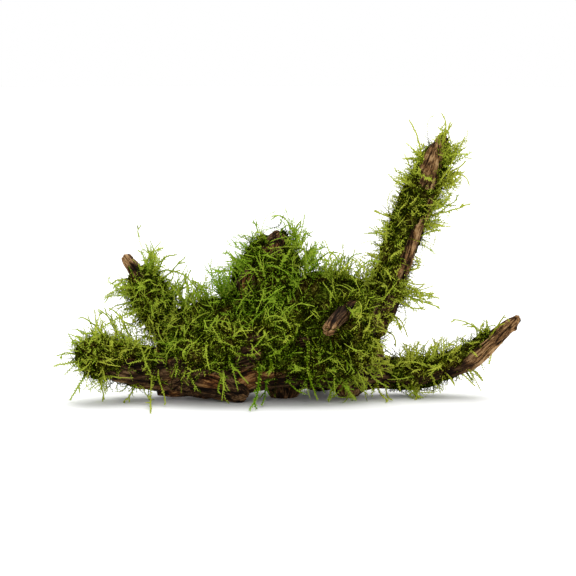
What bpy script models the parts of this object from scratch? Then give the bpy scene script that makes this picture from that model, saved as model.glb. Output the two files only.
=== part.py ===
"""Java moss grown over a piece of branching driftwood, lying on its own underside.

The wood is one grown piece, split here at its main forks. Each limb is a bent, fluted body swept
along a smooth route of hand-chosen stations. The moss is a sleeve for each limb: it follows the
limb's own route, stands off by the depth of the growth, rises in tufts, and has its longest shoots
joined to it as slim spikes. The wood is then cut out of it.

Metres, +Z up, X to the right, -Y towards the viewer. Stations and sizes below are in millimetres.
The origin is on the flat worn patch under the middle of the trunk.
"""

import math
import random
from dataclasses import dataclass

import bmesh
import bpy
from mathutils import Vector, noise
from mathutils.bvhtree import BVHTree

MM = 0.001

# Driving sizes of the wood and of the growth on it
FIT_GAP = 0.35  # between pieces that touch
FLUTE_DEPTH = 0.07  # share of a limb's radius
GNARL_DEPTH = 0.10  # share of a limb's radius
GNARL_SIZE = 11.0
WEAR_BLOCK = (400.0, 200.0, 20.0)  # what is worn off the underside, down from the floor
MOSS_FLOOR_GAP = 0.8  # moss ends this far above the surface that the wood stands on
MOSS_UNDERCUT = 1.6  # how far a sleeve's bare parts and ends dip under the bark
MOSS_UNEVENNESS = 0.8
TUFT_RISE = (1.0, 3.2)  # shortest and tallest ordinary tuft
WINDOW_EDGE = (0.75, 1.25)  # the moss thins between these shares of a bare window's size
TIP_RING = (0.62, 0.75)  # the last ring on a limb's domed end: share of its radius, of its dome
SHOOT_SIDES = 5
SHOOT_SHARES = (0.0, 0.45, 0.85)  # where along a long shoot its section is set
SHOOT_RADII = (1.7, 1.3, 0.9)  # with its leaves

# Colours and finishes of the two materials
BARK_COLOUR = (0.115, 0.066, 0.038, 1.0)
BARK_ROUGHNESS = 0.85
MOSS_COLOUR = (0.130, 0.235, 0.030, 1.0)
MOSS_ROUGHNESS = 0.75

TOWARDS_VIEWER = Vector((0.0, -1.0, 0.0))
UPWARDS = Vector((0.0, 0.0, 1.0))


@dataclass
class Knot:
    """A lump on the bark: its place along the limb, from 0 to 1, the way it faces, and its size."""

    along: float
    facing: tuple
    height: float
    width: float


@dataclass
class Limb:
    """One limb of the wood. A station is x, y, z and the radius there."""

    name: str
    stations: list
    rings: int
    sides: int
    flutes: int
    squash: float = 1.0  # the limb's depth, front to back, over its height
    tip_roundness: float = 0.8
    reference: Vector = TOWARDS_VIEWER
    knots: tuple = ()


@dataclass
class Window:
    """A bare patch in the moss: its place along the limb, the way it faces, its length and width."""

    along: float
    facing: tuple
    length: float
    width: float


@dataclass
class Growth:
    """The moss on one limb, from start to stop along it. Past 1, stop wraps over the limb's tip.

    Heaps are places where it has grown thick. A shoot is a run of points from root to tip.
    """

    name: str
    start: float
    stop: float
    depth: float
    rings: int
    sides: int
    seed: int
    heaps: tuple = ()
    windows: tuple = ()
    shoots: tuple = ()


TRUNK = Limb(
    "driftwood_trunk",
    [
        (-58.0, -3.0, 11.0, 8.5),
        (-50.0, -2.0, 12.5, 11.5),
        (-37.0, -1.0, 16.5, 16.0),
        (-17.0, 0.0, 20.4, 17.2),
        (6.0, 1.0, 21.6, 17.6),
        (24.0, 4.0, 22.6, 17.6),
        (33.0, 5.0, 19.0, 13.0),
        (37.0, 5.5, 16.5, 8.6),
    ],
    rings=16,
    sides=15,
    flutes=5,
    squash=0.94,
    tip_roundness=0.5,
    knots=(
        Knot(0.34, (0.0, -0.9, 0.4), 1.8, 6.0),
        Knot(0.62, (0.0, -0.7, -0.5), 1.6, 6.0),
        Knot(0.55, (0.0, 0.9, 0.3), 2.4, 8.0),
    ),
)

# Stubs of root that the trunk stands on. They grow out of its underside and are fused to it.
ROOT_STUBS = [
    Limb(
        "root_stub_front",
        [(-20.0, -4.0, 12.0, 8.0), (-23.0, -10.0, 8.0, 7.6), (-24.0, -15.0, 3.2, 5.8)],
        rings=6,
        sides=9,
        flutes=3,
        tip_roundness=0.5,
        reference=UPWARDS,
    ),
    Limb(
        "root_stub_middle",
        [(-1.0, 2.5, 12.0, 7.6), (-1.2, 2.0, 7.0, 6.8), (-1.0, 1.0, 2.4, 6.4)],
        rings=6,
        sides=11,
        flutes=3,
        tip_roundness=0.6,
    ),
    Limb(
        "root_stub_right",
        [(26.0, 1.0, 12.0, 7.5), (28.0, -2.0, 7.0, 6.8), (29.0, -4.0, 2.6, 5.6)],
        rings=6,
        sides=9,
        flutes=3,
        tip_roundness=0.5,
        reference=UPWARDS,
    ),
    Limb(
        "root_stub_back",
        [(10.0, 8.0, 13.0, 8.5), (14.0, 17.0, 8.0, 7.5), (17.0, 23.0, 3.2, 5.4)],
        rings=6,
        sides=9,
        flutes=3,
        tip_roundness=0.5,
        reference=UPWARDS,
    ),
]

LEFT_ARM = Limb(
    "driftwood_left_arm",
    [
        (-44.0, -3.0, 13.0, 7.5),
        (-56.0, -5.0, 13.2, 8.4),
        (-66.0, -7.5, 14.8, 8.0),
        (-75.0, -10.0, 17.6, 7.4),
        (-81.5, -12.0, 19.8, 6.6),
        (-85.5, -13.0, 21.2, 5.4),
    ],
    rings=12,
    sides=11,
    flutes=4,
    knots=(Knot(0.55, (0.0, -0.5, -0.8), 1.2, 4.0),),
)

LEFT_BRANCH = Limb(
    "driftwood_left_branch",
    [
        (-47.0, 1.0, 22.0, 6.5),
        (-52.0, 2.0, 31.0, 5.8),
        (-57.5, 4.0, 40.0, 4.9),
        (-62.5, 6.0, 49.0, 4.0),
        (-67.0, 8.0, 56.5, 3.1),
        (-70.3, 9.5, 61.0, 2.3),
    ],
    rings=12,
    sides=10,
    flutes=4,
    tip_roundness=0.7,
)

CENTRE_STUMP = Limb(
    "driftwood_centre_stump",
    [
        (-4.0, 3.0, 22.0, 15.5),
        (-7.0, 4.5, 36.0, 16.0),
        (-8.5, 6.0, 48.0, 14.0),
        (-7.0, 7.5, 58.0, 10.5),
        (-4.5, 9.0, 66.5, 6.8),
        (-2.6, 10.0, 71.0, 3.6),
    ],
    rings=12,
    sides=13,
    flutes=5,
    squash=0.66,
    tip_roundness=0.5,
    knots=(Knot(0.45, (-0.8, -0.6, 0.2), 2.0, 5.0),),
)

TALL_BRANCH = Limb(
    "driftwood_tall_branch",
    [
        (27.0, 5.0, 24.0, 9.4),
        (35.0, 6.0, 31.5, 8.2),
        (42.4, 7.0, 41.0, 7.3),
        (46.5, 8.5, 52.0, 6.8),
        (51.0, 10.0, 65.0, 7.0),
        (56.0, 12.0, 79.0, 6.9),
        (61.5, 14.0, 93.0, 6.6),
        (66.2, 15.5, 105.0, 5.0),
        (70.2, 16.5, 115.0, 1.7),
    ],
    rings=20,
    sides=10,
    flutes=4,
    tip_roundness=0.5,
    knots=(
        Knot(0.23, (0.9, -0.3, 0.1), 2.4, 3.6),
        Knot(0.62, (-0.9, 0.3, 0.0), 1.0, 5.0),
    ),
)

RIGHT_ARM = Limb(
    "driftwood_right_arm",
    [
        (27.0, 4.0, 12.5, 8.0),
        (38.0, 4.5, 10.6, 7.0),
        (50.0, 4.5, 9.8, 6.0),
        (62.0, 4.0, 11.0, 5.4),
        (74.0, 3.0, 14.4, 5.2),
        (84.0, 2.0, 19.4, 4.8),
        (93.0, 0.5, 26.8, 3.7),
        (99.0, -1.0, 32.4, 2.8),
        (102.6, -2.0, 35.4, 1.8),
    ],
    rings=19,
    sides=10,
    flutes=3,
    tip_roundness=0.4,
    knots=(
        Knot(0.90, (0.5, -0.4, -0.7), 1.1, 2.6),
        Knot(0.62, (0.0, -0.8, -0.5), 0.9, 4.0),
    ),
)

FRONT_STUB = Limb(
    "driftwood_front_stub",
    [
        (36.0, 4.0, 35.5, 5.6),
        (31.5, -4.0, 39.8, 4.7),
        (27.0, -11.0, 40.2, 4.0),
        (22.0, -18.0, 36.5, 3.4),
        (18.6, -23.0, 33.0, 3.0),
    ],
    rings=10,
    sides=10,
    flutes=3,
    tip_roundness=0.35,
    reference=UPWARDS,
)

TRUNK_MOSS = Growth(
    "moss_on_trunk",
    start=0.02,
    stop=0.98,
    depth=5.0,
    rings=17,
    sides=13,
    seed=3,
    heaps=(
        Knot(0.65, (0.0, 0.2, 1.0), 17.0, 12.0),
        Knot(0.81, (0.0, 0.1, 1.0), 13.0, 10.0),
        Knot(0.24, (0.0, 0.1, 1.0), 4.0, 10.0),
        Knot(0.36, (0.0, 0.1, 1.0), 8.0, 10.0),
        Knot(0.75, (0.0, -1.0, 0.1), 2.5, 14.0),
    ),
    windows=(
        Window(0.5, (0.0, 0.1, -1.0), 200.0, 17.0),
        Window(0.40, (0.0, -0.6, -0.8), 24.0, 9.0),
    ),
    shoots=(
        ((-42.0, -2.0, 40.0), (-38.0, 2.0, 51.0)),
        ((-28.0, -8.0, 38.0), (-31.0, -10.0, 48.0)),
        ((14.0, 6.0, 54.0), (20.0, 6.0, 63.5)),
        ((27.0, 8.0, 46.0), (31.0, 9.0, 60.0), (40.0, 10.0, 80.0)),
        ((-10.0, -18.0, 13.0), (-12.0, -26.0, 5.0), (-15.0, -38.0, 1.9)),
        ((10.0, -18.0, 15.0), (13.0, -22.0, 3.0)),
        ((27.0, -12.0, 8.0), (28.0, -20.0, 2.2)),
        ((-40.0, -15.0, 15.0), (-43.0, -25.0, 2.4)),
        ((-20.0, 18.0, 22.0), (-24.0, 30.0, 18.0)),
        ((10.0, 18.0, 28.0), (14.0, 29.0, 32.0), (16.0, 38.0, 31.0)),
    ),
)
STUMP_MOSS = Growth(
    "moss_on_centre_stump",
    start=0.22,
    stop=0.93,
    depth=4.0,
    rings=11,
    sides=11,
    seed=5,
    heaps=(Knot(0.70, (1.0, 0.2, 0.3), 3.0, 7.0),),
    windows=(
        Window(0.98, (0.1, -1.0, 0.2), 9.0, 4.5),
        Window(0.42, (-0.8, -0.6, 0.0), 8.0, 5.0),
    ),
    shoots=(
        ((-12.0, 6.0, 64.0), (-13.5, 6.0, 78.0)),
        ((0.0, 9.0, 64.0), (1.0, 8.0, 75.0), (-5.0, 8.0, 80.0)),
        ((2.0, 8.0, 70.0), (7.5, 8.0, 77.5)),
        ((2.0, 8.0, 66.0), (12.5, 8.0, 72.5)),
        ((-16.0, 5.0, 56.0), (-26.0, 5.0, 64.0)),
        ((-17.0, 4.0, 55.0), (-32.0, 4.0, 55.5)),
        ((6.0, 7.0, 56.0), (14.0, 6.0, 62.0), (22.0, 5.0, 60.0)),
    ),
)
LEFT_ARM_MOSS = Growth(
    "moss_on_left_arm",
    start=0.16,
    stop=1.10,
    depth=3.8,
    rings=12,
    sides=10,
    seed=7,
    heaps=(Knot(0.78, (0.0, 0.0, 1.0), 4.0, 8.0),),
    windows=(Window(0.40, (0.1, -0.5, -0.85), 13.0, 7.0),),
    shoots=(
        ((-82.0, -12.0, 30.0), (-90.0, -12.0, 37.0)),
        ((-90.0, -13.0, 18.0), (-101.0, -13.0, 15.0)),
        ((-87.0, -13.0, 14.0), (-93.0, -13.0, 7.0), (-94.0, -14.0, 2.4)),
        ((-80.0, -12.0, 12.0), (-79.0, -13.0, 2.4)),
        ((-67.0, -11.0, 9.0), (-70.0, -14.0, 2.4)),
        ((-58.0, -14.0, 14.0), (-58.0, -24.0, 4.0), (-57.0, -42.0, 1.9)),
        ((-72.0, -2.0, 18.0), (-78.0, 8.0, 22.0)),
    ),
)
LEFT_BRANCH_MOSS = Growth(
    "moss_on_left_branch",
    start=0.16,
    stop=0.80,
    depth=4.5,
    rings=11,
    sides=10,
    seed=11,
    heaps=(
        Knot(0.52, (1.0, 0.0, 0.3), 5.5, 7.0),
        Knot(0.48, (-1.0, 0.0, 0.2), 4.0, 6.0),
    ),
    shoots=(
        ((-60.0, 6.0, 52.0), (-60.5, 6.0, 63.0), (-64.7, 7.0, 76.0)),
        ((-58.0, 6.0, 54.0), (-48.5, 6.0, 63.0)),
        ((-57.0, 4.0, 50.0), (-49.0, 4.0, 55.0), (-39.0, 4.0, 50.0)),
        ((-66.0, 6.0, 51.0), (-77.0, 6.0, 50.5)),
        ((-66.0, 5.0, 44.0), (-80.0, 5.0, 44.5)),
        ((-64.0, 4.0, 42.0), (-78.0, 3.0, 38.0)),
        ((-58.0, 10.0, 44.0), (-62.0, 20.0, 46.0)),
    ),
)
TALL_BRANCH_MOSS = Growth(
    "moss_on_tall_branch",
    start=0.22,
    stop=0.965,
    depth=3.0,
    rings=20,
    sides=10,
    seed=13,
    heaps=(
        Knot(0.86, (1.0, 0.0, 0.1), 6.0, 9.0),
        Knot(0.57, (1.0, 0.1, 0.0), 2.0, 6.0),
        Knot(0.80, (-1.0, -0.2, 0.2), 1.5, 6.0),
    ),
    windows=(
        Window(0.50, (0.9, -0.45, 0.0), 16.0, 5.0),
        Window(0.88, (-0.2, -1.0, 0.0), 12.0, 4.5),
    ),
    shoots=(
        ((62.0, 14.0, 100.0), (57.5, 14.0, 111.0), (55.0, 14.0, 122.0)),
        ((59.0, 13.5, 103.0), (52.5, 13.0, 105.0)),
        ((67.0, 15.5, 106.0), (70.5, 16.0, 123.0)),
        ((68.0, 15.0, 104.0), (79.0, 15.0, 114.0)),
        ((67.0, 14.0, 98.0), (79.5, 14.0, 103.5)),
        ((66.0, 13.0, 90.0), (75.0, 13.0, 95.0), (81.5, 13.0, 92.0)),
        ((62.0, 12.0, 79.0), (70.0, 12.0, 80.0), (81.5, 12.0, 85.0)),
        ((55.0, 13.0, 92.0), (46.0, 13.0, 97.5)),
        ((60.0, 18.0, 86.0), (63.0, 27.0, 90.0)),
        ((47.0, 4.0, 48.0), (53.0, 3.0, 54.0), (59.0, 2.0, 57.5)),
        ((46.0, 4.0, 44.0), (56.0, 3.0, 47.0), (65.0, 2.0, 47.0)),
        ((44.0, 4.0, 40.0), (56.0, 2.0, 44.0), (68.0, 2.0, 42.0)),
    ),
)
RIGHT_ARM_MOSS = Growth(
    "moss_on_right_arm",
    start=0.16,
    stop=0.80,
    depth=2.6,
    rings=15,
    sides=9,
    seed=17,
    heaps=(Knot(0.34, (0.0, -0.3, 1.0), 3.0, 6.0),),
    windows=(Window(0.70, (0.2, -0.6, -0.8), 18.0, 5.5),),
    shoots=(
        ((46.0, 0.0, 14.0), (52.0, -2.0, 22.0), (56.0, -2.0, 26.0)),
        ((58.0, 0.0, 14.0), (60.0, 0.0, 25.0)),
        ((70.0, 1.0, 16.0), (73.0, 1.0, 25.0)),
        ((82.0, 1.0, 24.0), (79.5, 0.0, 31.0), (74.0, -1.0, 34.5)),
        ((86.0, 1.0, 24.0), (88.0, 1.0, 33.0)),
        ((89.0, 0.0, 22.0), (90.3, 0.0, 14.5)),
        ((78.0, 1.0, 13.0), (84.0, 0.0, 5.5)),
        ((64.0, 2.0, 8.0), (68.0, 0.0, 3.5)),
        ((54.0, -1.0, 6.0), (60.0, -6.0, 2.2)),
        ((41.0, -1.0, 7.0), (45.0, -14.0, 2.2)),
        ((60.0, 8.0, 12.0), (64.0, 15.0, 16.0)),
    ),
)


def clear_scene():
    for obj in list(bpy.data.objects):
        bpy.data.objects.remove(obj, do_unlink=True)


def material(name, colour, roughness):
    made = bpy.data.materials.new(name)
    made.use_nodes = True
    shader = made.node_tree.nodes["Principled BSDF"]
    shader.inputs["Base Color"].default_value = colour
    shader.inputs["Roughness"].default_value = roughness
    shader.inputs["Metallic"].default_value = 0.0
    return made


def on_route(stations, share):
    """The smooth route's x, y, z and radius, at a share of its stations: a Catmull-Rom curve."""
    last = len(stations) - 1
    place = min(max(share, 0.0), 1.0) * last
    piece = min(int(place), last - 1)
    t = place - piece
    before = stations[max(piece - 1, 0)]
    here, after = stations[piece], stations[piece + 1]
    beyond = stations[min(piece + 2, last)]
    return [
        0.5 * (2 * b + (c - a) * t + (2 * a - 5 * b + 4 * c - d) * t**2 + (3 * b - a - 3 * c + d) * t**3)
        for a, b, c, d in zip(before, here, after, beyond)
    ]


def route_frame(limb, share):
    """Centre, radius, direction and two cross directions of a limb at a share of its route."""
    step = 0.01
    x, y, z, radius = on_route(limb.stations, share)
    behind = Vector(on_route(limb.stations, share - step)[:3])
    ahead = Vector(on_route(limb.stations, share + step)[:3])
    along = (ahead - behind).normalized()
    first = (limb.reference - along * limb.reference.dot(along)).normalized()
    return Vector((x, y, z)), radius, along, first, along.cross(first)


def bark_radius(limb, share, radius, centre, radial, angle):
    """The limb's radius at one place: its flutes, gnarls and knots on the plain radius."""
    flute = math.cos(limb.flutes * angle + 5.0 * share) * FLUTE_DEPTH
    gnarl = noise.noise((centre + radial * radius) / GNARL_SIZE) * GNARL_DEPTH
    grown = radius * (1.0 + flute + gnarl)
    length = route_length(limb)
    for knot in limb.knots:
        off_along = (share - knot.along) * length / knot.width
        off_around = radial.angle(Vector(knot.facing)) * radius / knot.width
        grown += knot.height * math.exp(-(off_along**2) - off_around**2)
    return grown


def route_length(limb):
    points = [Vector(s[:3]) for s in limb.stations]
    return sum((b - a).length for a, b in zip(points, points[1:]))


def cross_direction(limb, first, second, angle):
    """The way out from the axis at an angle, and the section's squash front to back there."""
    radial = first * math.cos(angle) + second * math.sin(angle)
    sideways = abs(radial.dot(TOWARDS_VIEWER))
    return radial, 1.0 + (limb.squash - 1.0) * sideways**2


def closed_body(name, rings, start_pole, end_pole, finish):
    """A closed solid through rings of points, in millimetres, with a pole to close each end."""
    bm = bmesh.new()
    loops = [[bm.verts.new(p * MM) for p in ring] for ring in rings]
    for lower, upper in zip(loops, loops[1:]):
        for i in range(len(lower)):
            j = (i + 1) % len(lower)
            bm.faces.new((lower[i], lower[j], upper[j], upper[i]))
    for loop, pole in ((loops[0], start_pole), (loops[-1], end_pole)):
        top = bm.verts.new(pole * MM)
        for i in range(len(loop)):
            bm.faces.new((loop[i], loop[(i + 1) % len(loop)], top))
    bmesh.ops.recalc_face_normals(bm, faces=bm.faces)
    bmesh.ops.triangulate(bm, faces=bm.faces)
    mesh = bpy.data.meshes.new(name)
    bm.to_mesh(mesh)
    bm.free()
    mesh.materials.append(finish)
    obj = bpy.data.objects.new(name, mesh)
    bpy.context.scene.collection.objects.link(obj)
    return obj


def limb_body(limb, finish, grown_by=0.0):
    """The limb as a closed solid. A copy grown by the fitting gap is the cutter for what it meets."""
    rings = []
    for i in range(limb.rings + 1):
        share = i / limb.rings
        centre, radius, along, first, second = route_frame(limb, share)
        rings.append([])
        for k in range(limb.sides):
            angle = math.tau * k / limb.sides
            radial, flat = cross_direction(limb, first, second, angle)
            out = bark_radius(limb, share, radius, centre, radial, angle) * flat + grown_by
            rings[-1].append(centre + radial * out)
    centre, radius, along, first, second = route_frame(limb, 1.0)
    dome = radius * limb.tip_roundness
    narrow, high = TIP_RING
    inner = [centre + (p - centre) * narrow + along * (dome * high + grown_by) for p in rings[-1]]
    end_pole = centre + along * (dome + grown_by)
    centre, _, along, _, _ = route_frame(limb, 0.0)
    start_pole = centre - along * (0.5 + grown_by)
    return closed_body(limb.name, rings + [inner], start_pole, end_pole, finish)


def smooth_step(low, high, value):
    t = min(max((value - low) / (high - low), 0.0), 1.0)
    return t * t * (3.0 - 2.0 * t)


def spread(limb, share, radial, radius, place, long, wide):
    """How far a point of the limb is from a knot or a window, in that feature's own widths."""
    off_along = (share - place.along) * route_length(limb) / long
    off_around = radial.angle(Vector(place.facing)) * radius / wide
    return math.hypot(off_along, off_around)


def moss_depth(limb, growth, share, radial, radius, from_ends):
    """How thick the moss stands at one place, and how much of the bark it covers there, 0 to 1."""
    depth = growth.depth
    for heap in growth.heaps:
        off = spread(limb, share, radial, radius, heap, heap.width, heap.width)
        depth += heap.height * math.exp(-(off**2))
    cover = smooth_step(0.0, 1.0, from_ends / 2.0)
    for window in growth.windows:
        off = spread(limb, share, radial, radius, window, window.length, window.width)
        cover *= smooth_step(*WINDOW_EDGE, off)
    return depth, cover


def moss_body(limb, growth, finish, grown_by=0.0):
    """The moss sleeve with its long shoots, before the wood is cut out of it."""
    rng = random.Random(growth.seed)
    rings = []
    wraps_tip = growth.stop > 1.0
    for i in range(growth.rings + 1):
        share = growth.start + (growth.stop - growth.start) * i / growth.rings
        centre, radius, along, first, second = route_frame(limb, min(share, 1.0))
        past_tip = max(share - 1.0, 0.0) / max(growth.stop - 1.0, 0.001)
        centre = centre + along * past_tip * (growth.depth + radius * limb.tip_roundness)
        narrowed = math.sqrt(max(1.0 - past_tip**2, 0.04))
        from_ends = i if wraps_tip else min(i, growth.rings - i)
        rings.append([])
        for k in range(growth.sides):
            angle = math.tau * k / growth.sides
            radial, flat = cross_direction(limb, first, second, angle)
            wood = bark_radius(limb, min(share, 1.0), radius, centre, radial, angle) * flat
            depth, cover = moss_depth(limb, growth, share, radial, radius, from_ends)
            depth += rng.uniform(-MOSS_UNEVENNESS, MOSS_UNEVENNESS)
            if (i + 2 * k) % 3 == 0:
                depth += rng.uniform(*TUFT_RISE)
            stand = (depth + MOSS_UNDERCUT) * cover - MOSS_UNDERCUT
            point = centre + radial * ((wood + stand + grown_by) * narrowed)
            point.z = max(point.z, MOSS_FLOOR_GAP - grown_by)
            rings[-1].append(point)
    ends = [sum(ring, Vector()) / len(ring) for ring in (rings[0], rings[-1])]
    body = closed_body(growth.name, rings, ends[0], ends[1], finish)
    for shoot in growth.shoots:
        boolean(body, shoot_body(shoot, finish, grown_by), "UNION")
    return body


def shoot_body(points, finish, grown_by):
    """One long leafy shoot as a slim bent spike, thickest where it leaves the moss."""
    route = [(*point, 0.0) for point in points]
    across = (Vector(points[-1]) - Vector(points[0])).orthogonal()
    step = 0.02
    rings = []
    for share, radius in zip(SHOOT_SHARES, SHOOT_RADII):
        centre = Vector(on_route(route, share)[:3])
        behind, ahead = (Vector(on_route(route, share + way * step)[:3]) for way in (-1, 1))
        along = (ahead - behind).normalized()
        first = (across - along * across.dot(along)).normalized()
        second = along.cross(first)
        rings.append([])
        for k in range(SHOOT_SIDES):
            angle = math.tau * k / SHOOT_SIDES
            radial = first * math.cos(angle) + second * math.sin(angle)
            point = centre + radial * (radius + grown_by)
            point.z = max(point.z, MOSS_FLOOR_GAP - grown_by)
            rings[-1].append(point)
    root, past_root = Vector(points[0]), Vector(on_route(route, step)[:3])
    start_pole = root - (past_root - root).normalized()
    return closed_body("shoot", rings, start_pole, Vector(points[-1]), finish)


def surface_tree(obj):
    """The object's faces, for finding whether another's cross them."""
    bm = bmesh.new()
    bm.from_mesh(obj.data)
    tree = BVHTree.FromBMesh(bm)
    bm.free()
    return tree


def boolean(obj, cutter, operation):
    """Joins the cutter to obj, or cuts it away, where their surfaces cross, and removes the cutter."""
    if not surface_tree(obj).overlap(surface_tree(cutter)):
        bpy.data.objects.remove(cutter, do_unlink=True)
        return
    modifier = obj.modifiers.new("fit", "BOOLEAN")
    modifier.operation = operation
    modifier.solver = "EXACT"
    modifier.object = cutter
    graph = bpy.context.evaluated_depsgraph_get()
    made = bpy.data.meshes.new_from_object(obj.evaluated_get(graph))
    obj.modifiers.clear()
    obj.data = made
    bpy.data.objects.remove(cutter, do_unlink=True)


def worn_flat(obj, finish):
    """Wears the wood flat where it would reach below the surface that it stands on."""
    bm = bmesh.new()
    bmesh.ops.create_cube(bm, size=1.0)
    bmesh.ops.scale(bm, vec=[side * MM for side in WEAR_BLOCK], verts=bm.verts)
    bmesh.ops.translate(bm, vec=(0.0, 0.0, -WEAR_BLOCK[2] / 2 * MM), verts=bm.verts)
    mesh = bpy.data.meshes.new("floor")
    bm.to_mesh(mesh)
    bm.free()
    mesh.materials.append(finish)
    floor = bpy.data.objects.new("floor", mesh)
    bpy.context.scene.collection.objects.link(floor)
    boolean(obj, floor, "DIFFERENCE")


def keep_largest(obj):
    """Drops the crumbs that a cut can leave beside the main body."""
    bm = bmesh.new()
    bm.from_mesh(obj.data)
    left, bodies = set(bm.verts), []
    while left:
        stack = [left.pop()]
        body = set(stack)
        while stack:
            for edge in stack.pop().link_edges:
                for vert in edge.verts:
                    if vert in left:
                        left.remove(vert)
                        body.add(vert)
                        stack.append(vert)
        bodies.append(body)
    largest = max(bodies, key=len)
    crumbs = [vert for body in bodies if body is not largest for vert in body]
    bmesh.ops.delete(bm, geom=crumbs, context="VERTS")
    bm.to_mesh(obj.data)
    bm.free()
    obj.data.shade_smooth()
    obj.data.set_sharp_from_angle(angle=math.radians(50.0))


def build_wood(bark):
    """The trunk with its root stubs, then each limb, cut back to where it leaves what it grew from."""
    trunk = limb_body(TRUNK, bark)
    for stub in ROOT_STUBS:
        boolean(trunk, limb_body(stub, bark), "UNION")
    worn_flat(trunk, bark)
    keep_largest(trunk)
    grown_from_trunk = (LEFT_ARM, LEFT_BRANCH, CENTRE_STUMP, TALL_BRANCH, RIGHT_ARM, FRONT_STUB)
    also_met = {
        LEFT_BRANCH.name: (LEFT_ARM,),
        TALL_BRANCH.name: (CENTRE_STUMP,),
        RIGHT_ARM.name: (TALL_BRANCH,),
        FRONT_STUB.name: (TALL_BRANCH, CENTRE_STUMP),
    }
    for limb in grown_from_trunk:
        body = limb_body(limb, bark)
        for met in (TRUNK, *ROOT_STUBS, *also_met.get(limb.name, ())):
            boolean(body, limb_body(met, bark, FIT_GAP), "DIFFERENCE")
        keep_largest(body)


def build_moss(green):
    """Each sleeve with the wood cut out of it, and the sleeves that were laid before it."""
    laid = []
    limbs = (TRUNK, LEFT_ARM, LEFT_BRANCH, CENTRE_STUMP, TALL_BRANCH, RIGHT_ARM, FRONT_STUB)
    for limb, growth in (
        (CENTRE_STUMP, STUMP_MOSS),
        (LEFT_ARM, LEFT_ARM_MOSS),
        (LEFT_BRANCH, LEFT_BRANCH_MOSS),
        (TALL_BRANCH, TALL_BRANCH_MOSS),
        (RIGHT_ARM, RIGHT_ARM_MOSS),
        (TRUNK, TRUNK_MOSS),
    ):
        body = moss_body(limb, growth, green)
        for met in (*limbs, *ROOT_STUBS):
            boolean(body, limb_body(met, green, FIT_GAP), "DIFFERENCE")
        for other_limb, other in laid:
            boolean(body, moss_body(other_limb, other, green, FIT_GAP), "DIFFERENCE")
        keep_largest(body)
        laid.append((limb, growth))


clear_scene()
build_wood(material("driftwood_bark", BARK_COLOUR, BARK_ROUGHNESS))
build_moss(material("java_moss", MOSS_COLOUR, MOSS_ROUGHNESS))
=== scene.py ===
"""Java moss grown over a piece of branching driftwood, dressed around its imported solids.

The frame is in metres, +Z up, X to the right, -Y towards the viewer. Sizes and places are written
in millimetres.
"""

import copy
import math
from dataclasses import dataclass

import bmesh
import bpy
import numpy as np
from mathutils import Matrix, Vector, noise
from mathutils.bvhtree import BVHTree


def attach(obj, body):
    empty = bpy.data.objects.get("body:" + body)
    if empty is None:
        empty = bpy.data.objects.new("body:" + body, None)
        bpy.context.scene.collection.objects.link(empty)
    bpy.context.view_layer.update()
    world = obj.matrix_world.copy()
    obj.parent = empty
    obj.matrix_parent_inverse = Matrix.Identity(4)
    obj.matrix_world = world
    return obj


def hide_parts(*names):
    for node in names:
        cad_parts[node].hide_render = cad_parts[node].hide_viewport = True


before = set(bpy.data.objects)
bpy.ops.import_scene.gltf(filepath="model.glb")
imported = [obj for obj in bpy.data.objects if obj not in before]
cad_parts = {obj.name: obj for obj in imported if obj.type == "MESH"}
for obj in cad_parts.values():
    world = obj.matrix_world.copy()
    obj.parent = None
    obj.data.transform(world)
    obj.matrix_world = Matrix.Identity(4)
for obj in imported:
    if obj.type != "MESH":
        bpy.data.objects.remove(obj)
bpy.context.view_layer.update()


# The driftwood. One dead, water-worn root of a tree, its bark furrowed along the grain. The limbs
# taper from the log in the middle and swell where they leave it. The log lies on four short root
# stubs, worn flat underneath.

MM = 0.001


@dataclass
class Limb:
    """A limb from its foot to its tip.

    A station is x, y, z and the radius there. A knot is its share along, facing, height and width.
    The wood is stripped of its bark from the share bared on, and its tip is as rough as broken.
    """

    node: str
    stations: tuple
    flutes: int
    pitch: float = 0.5  # spacing of the points of its mesh
    squash: float = 1.0
    tip_roundness: float = 0.8
    reference: tuple = (0.0, -1.0, 0.0)
    knots: tuple = ()
    bared: float = 1.0
    broken: float = 0.6


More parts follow.
